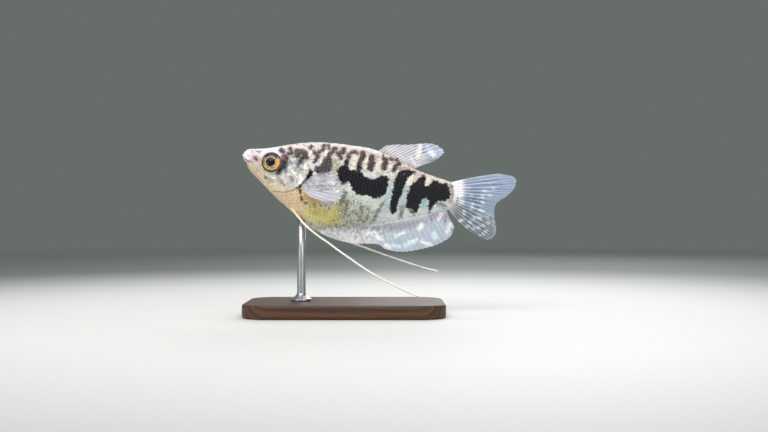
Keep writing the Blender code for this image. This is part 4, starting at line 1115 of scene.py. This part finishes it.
def scale_plates(x, distance, length, width, tilt, surface, side):
    """Points, faces, rims and baking places of many scales, one for each given middle.

    A scale is a grid, long by wide, round behind and narrower in front; it rises from under its
    neighbours to a free rear edge, crowned across, and is closed below by one more point."""
    along = np.sin(np.linspace(0.0, 0.5 * math.pi, SCALE_LONG))[:, None] ** 1.15
    across = np.linspace(-1.0, 1.0, SCALE_WIDE)[None, :]
    behind = np.sqrt(np.clip(1 - (np.clip(along - SCALE_WIDEST, 0, None) / 0.6) ** 2, 0.0, 1.0))
    before = 1 - 0.4 * (np.clip(SCALE_WIDEST - along, 0, None) / SCALE_WIDEST) ** 2
    bowed = along - 0.16 * across**2 * smooth(along, 0.3, 1.0)
    px = x[:, None, None] + length[:, None, None] * (bowed - 0.5)
    ps = distance[:, None, None] + 0.5 * width[:, None, None] * behind * before * across
    rise = SCALE_RISE * smooth(along, 0.0, 1.0) * tilt[:, None, None]
    top = surface(px, ps, rise - 0.06 - 0.04 * across**2)
    below = surface(x[:, None], distance[:, None], np.full((len(x), 1), -0.1))
    points = np.concatenate([top.reshape(len(x), -1, 3), below], axis=1)
    points[..., 1] *= side
    grid = SCALE_LONG * SCALE_WIDE
    number = np.arange(grid).reshape(SCALE_LONG, SCALE_WIDE)
    loop = np.concatenate([number[0, :-1], number[:-1, -1], number[-1, :0:-1], number[:0:-1, 0]])
    one = np.vstack([sheet_faces(SCALE_LONG, SCALE_WIDE), fan_faces(grid, loop, flip=True)])
    faces = (one + np.arange(len(x))[:, None, None] * (grid + 1)).reshape(-1, 4)
    rims = np.append(along * (1 - 0.25 * across**2), 0.0)
    patch = np.stack(np.broadcast_arrays(along, across * 0.5 + 0.5), axis=-1).reshape(-1, 2)
    return points.reshape(-1, 3), faces, rims, np.vstack([patch, [0.5, 0.5]])


def give_bake_places(mesh, roots, patch):
    """The OFBake map: each scale a small patch at its root's place on the skin's own unwrap."""
    layer = mesh.uv_layers.new(name="OFBake")
    places = (roots[:, None, :] + (patch - 0.5) * BAKE_PATCH).reshape(-1, 2)
    corners = np.empty(len(mesh.loops), np.int32)
    mesh.loops.foreach_get("vertex_index", corners)
    layer.data.foreach_set("uv", places[corners].astype(np.float32).ravel())


def steady(count, seed):
    """Repeatable numbers from 0 to 1: the fraction of a large sine."""
    return np.modf(np.abs(np.sin(np.arange(count) * 12.9898 + seed) * 43758.5453))[0]


def make_scale_coat(side, word, finish, girth):
    """The flank's scales in rows along the body, every second column half a row lower; they begin
    behind the gill edge and end at the tail root."""
    columns = np.arange(SCALE_COLUMNS)
    starts = SCALES_START + columns * SCALE_PITCH * (1 - 0.0028 * columns)
    x, row = np.meshgrid(starts, np.arange(-SCALE_ROWS, SCALE_ROWS + 1.0), indexing="ij")
    row += (columns % 2)[:, None] * 0.5
    x, row = x.ravel(), row.ravel()
    pitch = ROW_PITCH * (1 - 0.26 * smooth(x, 34.0, 62.0))
    distance = row * pitch
    up, down = girth.edges(x)
    z = girth.point(x, distance, np.zeros_like(x))[:, 2]
    edge = through(GILL_EDGE, np.linspace(0.0, 1.0, 60))
    start = np.interp(-z, -edge[:, 1], edge[:, 0])
    gill_top_x, gill_top_z = GILL_EDGE[0]
    start = np.where(z > gill_top_z, gill_top_x - (z - gill_top_z) * 2.6, start)
    keep = (distance < up + 0.1) & (distance > -down - 0.1) & (x < SCALES_STOP) & (x > start + 0.25)
    x, distance, pitch = x[keep], distance[keep], pitch[keep]
    wobble = steady(len(x), 3.0 + side) - 0.5
    small = 1 - 0.25 * smooth(x, 20.0, 11.0) - 0.18 * smooth(x, 40.0, 62.0)
    length = 1.85 * SCALE_PITCH * small * (1 + 0.08 * wobble)
    width = 1.42 * pitch * (1 + 0.05 * wobble)
    tilt = 0.8 + 0.3 * steady(len(x), 29.0 + side)
    middles = distance + 0.05 * wobble
    points, faces, rims, patch = scale_plates(x, middles, length, width, tilt, girth.point, side)
    attributes = markings(points, ON_FLESH)
    attributes["rim"] = np.tile(rims, len(x))
    attributes["own"] = np.repeat(steady(len(x), 17.0 + side) - 0.5, len(rims))
    piece = make_piece("scales_" + word, points, faces, finish, (), attributes)
    roots = np.stack([0.05 + 0.9 * x / 66.0, 0.5 + 0.45 * girth.share(x, distance)], axis=-1)
    give_bake_places(piece.data, roots, patch)


def fin_sheet(keys, across, along):
    """X and Z of a fin: each ray runs from its root to its tip and bows sideways by a parabola."""
    root_x, root_z, tip_x, tip_z, bow = np.moveaxis(through(keys, across), -1, 0)
    run_x, run_z = tip_x - root_x, tip_z - root_z
    arch = 4 * bow * along * (1 - along) / np.hypot(run_x, run_z)
    return root_x + run_x * along - arch * run_z, root_z + run_z * along + arch * run_x


def make_fin(name, replaced, keys, rays, finish, side_of, thick=0.085, root=0.3, fork=0.0, rows=40,
             start=0.0, veil=0.8, ripple=0.0, sign=1.0, steps=8, ridges=0.1, veil_from=(-1.0, 0.0),
             fleshy=0.16):
    """A fin: a closed blade, thin between the rays, each ray a rounded ridge that tapers outwards and
    parts in two where it is forked; the margin is scalloped between ray tips."""
    columns = rays * steps + 1
    across = np.linspace(0.0, 1.0, columns)
    across, along = np.meshgrid(across, np.linspace(0.0, 1.0, rows) ** 0.9, indexing="ij")
    phase = across * rays - 0.5
    nearest = np.abs(phase - np.round(phase))
    parted = 0.23 * smooth(along, 0.42, 0.85) * fork
    twice = 0.1 * smooth(along, 0.72, 0.95) * fork
    width = 0.15 - 0.06 * smooth(along, 0.5, 0.95) * fork
    ridge = np.max([bell(nearest + a * parted + b * twice, width) for a in (-1, 1) for b in (-1, 1)], axis=0)
    reach = (start + (1 - start) * along) * (1 - 0.02 * (1 - ridge) * along**4)
    x, z = fin_sheet(keys, across, reach)
    half = thick + (root - thick) * np.clip(1 - along / 0.32, 0, 1) ** 2
    half = (half + ridges * ridge * (1 - 0.65 * along)) * (1 - 0.55 * smooth(along, 0.93, 1.0))
    y = side_of(across, reach) + ripple * np.sin(across * rays * 0.9) * along**2
    flat = np.concatenate([np.stack([x, sign * (y + face * half), z], -1) for face in (-1, 1)]).reshape(-1, 3)
    count = columns * rows
    number = np.arange(count).reshape(columns, rows)
    rim = np.concatenate([number[:-1, 0], number[-1, :-1], number[:0:-1, -1], number[0, :0:-1]])
    after = np.roll(rim, -1)
    wall = np.stack([rim, after, after + count, rim + count], axis=-1)
    faces = np.vstack([sheet_faces(columns, rows), sheet_faces(columns, rows, flip=True) + count, wall])
    edge = np.minimum(across, 1 - across) * rays
    shares = {
        "ray": ridge * (1 - 0.25 * along),
        "margin": np.maximum(smooth(along, 0.955, 0.99), 1 - smooth(edge, 0.0, 0.18)),
        "fleshy": 1 - smooth(along, 0.02, fleshy),
        "veil": veil * smooth(along, 0.0, 0.12) * smooth(across, *veil_from),
        "outward": along,
    }
    attributes = markings(flat, ON_FINS)
    attributes.update({word: np.tile(share.ravel(), 2) for word, share in shares.items()})
    make_piece(name, flat, faces, finish, (replaced,), attributes)


def flank_sway(across, along):
    """How far the pectoral fin's sheet stands from the middle plane: out of the flank, then flared."""
    flank = half_width(*PECTORAL_ROOT) - PECTORAL_SINK
    return -(flank + (PECTORAL_SINK + 0.9) * np.clip(along / 0.16, 0, 1) + PECTORAL_FLARE * along**1.2)


def make_feeler(word, waypoints, side, finish):
    """A thread: circles carried along a smooth path, thick at the root and tapered to a round tip."""
    share = np.linspace(0.0, 1.0, FEELER_RINGS)
    path = through(waypoints, share)
    path[:, 1] *= side
    ahead = np.gradient(path, axis=0)
    ahead /= np.linalg.norm(ahead, axis=1, keepdims=True)
    across = np.cross(ahead, [0.0, 1.0, 0.0])
    across /= np.linalg.norm(across, axis=1, keepdims=True)
    upward = np.cross(across, ahead)
    radius = FEELER_RADIUS - FEELER_INSET + (FEELER_TIP_RADIUS - FEELER_RADIUS) * share**0.7 + 0.06 * share
    radius = radius + (FEELER_ROOT_SWELL - 0.14) * bell(share - 0.09, 0.05)
    radius = radius * (1 + 0.035 * np.sin(share * 260.0))
    radius = radius * np.sqrt(np.clip(1 - smooth(share, 0.992, 1.0) ** 2, 0.05, 1))
    angle = np.linspace(0.0, 2 * math.pi, FEELER_SIDES, endpoint=False)[:, None]
    ring = across[:, None, :] * np.cos(angle) + upward[:, None, :] * np.sin(angle)
    flat, faces = closed_rings(path[:, None, :] + ring * radius[:, None, None], path[0], path[-1])
    root = np.append(np.repeat(1 - smooth(share, 0.09, 0.24), FEELER_SIDES), [1.0, 0.0])
    name = "feeler_thread_" + word
    make_piece(name, flat, faces, finish, ("feeler_" + word,), {"root": root})


def make_eye(side, word, finish):
    """An eye: a half ellipsoid dome over a deeper hidden half, with the distances that its rings are
    painted by. The pupil lies a little ahead of the middle."""
    mirror = np.array([1.0, side, 1.0])
    facing = EYE_FACES * mirror
    facing /= np.linalg.norm(facing)
    back = np.cross([0.0, 0.0, 1.0], facing) * side
    back /= np.linalg.norm(back)
    upward = np.cross(facing, back) * side
    upward *= np.sign(upward[2])
    back *= np.sign(back[0])
    polar = np.linspace(0.0, math.pi, EYE_ROWS)[1:-1]
    turn = np.linspace(0.0, 2 * math.pi, EYE_SIDES, endpoint=False)
    front = np.cos(polar) > 0
    reach = (EYE_RADIUS - EYE_INSET) * np.sin(polar)
    hidden = EYE_DEPTH - 2 * EYE_INSET
    depth = np.where(front, EYE_BULGE * np.abs(np.cos(polar)) ** 1.6, hidden * np.cos(polar))
    depth = depth + (PUPIL_RISE * bell(reach, 1.15) - 0.05 * bell(reach - 1.85, 0.25)) * front
    middle = EYE_PLACE * mirror
    a, b = np.outer(reach, np.cos(turn)), np.outer(reach, np.sin(turn))
    points = middle + a[..., None] * back + b[..., None] * upward + depth[:, None, None] * facing
    poles = middle + facing * (EYE_BULGE + PUPIL_RISE), middle - facing * hidden
    flat, faces = closed_rings(points, *poles)
    a, b = np.append(a, [0.0, 0.0]), np.append(b, [0.0, 0.0])
    seen = np.append(np.repeat(front, EYE_SIDES), [True, False])
    attributes = {
        name: near_strokes(a, b, fade, (stroke,)) for name, (fade, stroke) in IRIS_STROKES.items()
    }
    attributes["pupil"] = np.hypot(a + 0.05, b + 0.03)
    attributes["iris"] = np.where(seen, np.hypot(a, b), 4.0)
    make_piece("painted_eye_" + word, flat, faces, finish, ("eye_" + word,), attributes)


def make_stand_piece(name, rings, finish, replaced):
    """A stack of rings in the world's millimetres, closed by a point at both ends."""
    flat, faces = closed_rings(rings, rings[0].mean(axis=0), rings[-1].mean(axis=0))
    make_piece(name, flat, faces, finish, (replaced,), in_world=True)


def make_post(finish):
    """The turned post: rings round its axis, their radius that of the foot, then falling to the
    rod's by the square of the share of the cove that is left; it ends at the top of its solid."""
    foot = BASE_THICKNESS + POST_GAP
    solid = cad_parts["stand_rod"]
    top = max((solid.matrix_world @ mathutils.Vector(corner)).z for corner in solid.bound_box) / MM - foot
    half, edge = 0.5 * ROD_FOOT_HEIGHT, 0.12
    cove = np.linspace(0.0, 1.0, 20)
    inset = np.array([edge, 0.25 * edge, 0.0, 0.0, 0.25 * edge, edge])
    cove_radius = ROD_RADIUS + (ROD_FOOT_RADIUS - 0.2 - ROD_RADIUS) * (1 - cove) ** 2
    radius = [*(ROD_FOOT_RADIUS - inset), *cove_radius, ROD_RADIUS, ROD_RADIUS]
    height = [0.0, 0.25 * edge, edge, half - edge, half - 0.25 * edge, half]
    height += [*(ROD_FOOT_HEIGHT * (0.5 + 1.1 * cove) + 0.01), 0.5 * top, top]
    turn = np.linspace(0.0, 2 * math.pi, POST_SIDES, endpoint=False)
    x, y = ROD_X + np.outer(radius, np.cos(turn)), np.outer(radius, np.sin(turn))
    rings = np.stack([x, y, foot + np.outer(height, np.ones(POST_SIDES))], axis=-1)
    make_stand_piece("stand_post", rings, finish, "stand_rod")


def make_board(finish):
    """The moulded board: rings of one rounded oblong, drawn in by the distance from its edge, so
    that the upper and lower edges are quarter circles; flat above and below."""
    quarter = np.linspace(0.0, 0.5 * math.pi, 9)
    inset = np.append([BASE_CORNER - 1.0, BASE_EDGE + 0.05], BASE_EDGE * (1 - np.sin(quarter)))
    height = np.append([0.0, 0.0], BASE_EDGE * (1 - np.cos(quarter)))
    inset = np.append(inset, inset[::-1])[:, None]
    height = np.append(height, BASE_THICKNESS - height[::-1])[:, None]
    turn = np.linspace(0.0, 2 * math.pi, BOARD_SIDES, endpoint=False) + math.pi / BOARD_SIDES
    across, along = np.cos(turn), np.sin(turn)
    x = np.sign(across) * (0.5 * BASE_LENGTH - BASE_CORNER) + (BASE_CORNER - inset) * across
    y = np.sign(along) * (0.5 * BASE_DEPTH - BASE_CORNER) + (BASE_CORNER - inset) * along
    rings = np.stack(np.broadcast_arrays(BASE_CENTRE_X + x, y, height), axis=-1)
    make_stand_piece("stand_board", rings, finish, "stand_base")


def make_stage():
    """A wide pale floor: rings of points round its middle."""
    radius = np.linspace(0.0, 1.0, FLOOR_RINGS + 1)[1:] ** 1.5 * FLOOR_RADIUS
    turn = np.linspace(0.0, 2 * math.pi, FLOOR_SIDES, endpoint=False)
    x, y = np.outer(radius, np.cos(turn)), np.outer(radius, np.sin(turn))
    flat = np.vstack([np.stack([x, y, 0 * x], axis=-1).reshape(-1, 3), [0.0, 0.0, 0.0]])
    faces = np.vstack([
        sheet_faces(FLOOR_RINGS, FLOOR_SIDES, closed=True, flip=True),
        fan_faces(len(flat) - 1, np.arange(FLOOR_SIDES)),
    ])
    floor = in_scene("floor", make_mesh("floor", flat, faces, new_finish("pale floor", floor_looks)))


def make_lights():
    """Square lights aimed at the fish, and a sky that the camera sees as the backdrop."""
    for name, place, size, power, tint in LIGHTS:
        lamp = bpy.data.lights.new(name, "AREA")
        lamp.size = size
        lamp.energy = power
        lamp.color = tint
        holder = in_scene(name, lamp)
        holder.location = place
        run_x, run_y, run_z = np.subtract(LIGHTS_AIM, place)
        flat = math.hypot(run_x, run_y)
        holder.rotation_euler = (math.atan2(flat, -run_z), 0.0, math.atan2(run_y, run_x) - math.pi / 2)
    world = bpy.data.worlds.new("studio")
    world.use_nodes = True
    tree = Tree(world.node_tree)
    tree.data.nodes.clear()
    seen = tree.wired("ShaderNodeBackground", {0: BACKDROP})
    soft = tree.wired("ShaderNodeBackground", {0: SKY, 1: SKY_STRENGTH})
    ray = tree.wired("ShaderNodeLightPath", {}, "Is Camera Ray")
    both = tree.wired("ShaderNodeMixShader", {0: ray, 1: soft, 2: seen})
    tree.feed(tree.node("ShaderNodeOutputWorld").inputs[0], both)
    bpy.context.scene.world = world


def make_camera():
    """The photograph's view: level, square to the side, so far back that the snout and the scale of
    the picture fall where they do in the photograph."""
    lens = bpy.data.cameras.new("camera")
    lens.lens = LENS
    lens.sensor_width = SENSOR
    lens.clip_start = 0.01
    holder = in_scene("camera", lens)
    ahead = -SNOUT_TO_MIDDLE + (FRAME_WIDTH / 2 - SNOUT_PIXEL[0]) * MM_PER_PIXEL
    height = SNOUT_HEIGHT - (FRAME_HEIGHT / 2 - SNOUT_PIXEL[1]) * MM_PER_PIXEL
    away = FRAME_WIDTH * MM_PER_PIXEL * LENS / SENSOR
    holder.location = (ahead * MM, -away * MM, height * MM)
    holder.rotation_euler = (math.pi / 2, 0.0, 0.0)
    bpy.context.scene.camera = holder


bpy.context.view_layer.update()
opaline = make_opaline_group(make_ragged_group())
skin_finish = new_finish("opaline skin", skin_looks, opaline, False)
scale_finish = new_finish("opaline scales", skin_looks, opaline, True)
fin_finish = new_finish("opaline fin", fin_looks, opaline)
clear_fin = new_finish("clear fin", fin_looks, opaline, solid_alpha=0.46, tip=0.45, edge_paint=0.05)
dense_fin = new_finish(
    "dense fin", fin_looks, opaline, solid_alpha=0.95, tip=0.96, edge_paint=0.5, grain=1.0, spots=0.55
)
eye_finish = new_finish("painted eye", eye_looks)
feeler_finish = new_finish("ivory thread", feeler_looks)

make_skin(skin_finish)
girth = Girth()
for side, word, feeler in ((-1.0, "left", NEAR_FEELER), (1.0, "right", FAR_FEELER)):
    make_gill_flap(side, word, skin_finish)
    make_scale_coat(side, word, scale_finish, girth)
    make_eye(side, word, eye_finish)
    make_feeler(word, feeler, side, feeler_finish)
    make_fin(
        "pectoral_blade_" + word, "pectoral_fin_" + word, PECTORAL_KEYS, 10, clear_fin, flank_sway,
        start=0.02, thick=0.06, root=0.5, veil=0.26, ridges=0.05, sign=-side,
    )
make_fin(
    "dorsal_blade", "dorsal_fin", DORSAL_KEYS, 16, fin_finish,
    lambda across, along: 0.7 * along**2 * across, ripple=0.12,
)
make_fin(
    "anal_blade", "anal_fin", ANAL_KEYS, 36, dense_fin,
    lambda across, along: -0.5 * along**2 * np.sin(5.0 * across),
    veil=0.14, ripple=0.08, ridges=0.03, root=0.75, veil_from=(0.2, 0.7), fleshy=0.3,
)
make_fin(
    "caudal_blade", "caudal_fin", CAUDAL_KEYS, 16, fin_finish,
    lambda across, along: 1.3 * along**2, fork=1.0, steps=20, root=0.45, rows=54,
)

make_board(new_finish("oiled wood", wood_looks))
make_post(new_finish("brushed steel", steel_looks))

make_stage()
make_lights()
make_camera()
bpy.context.scene.view_settings.view_transform = "Standard"
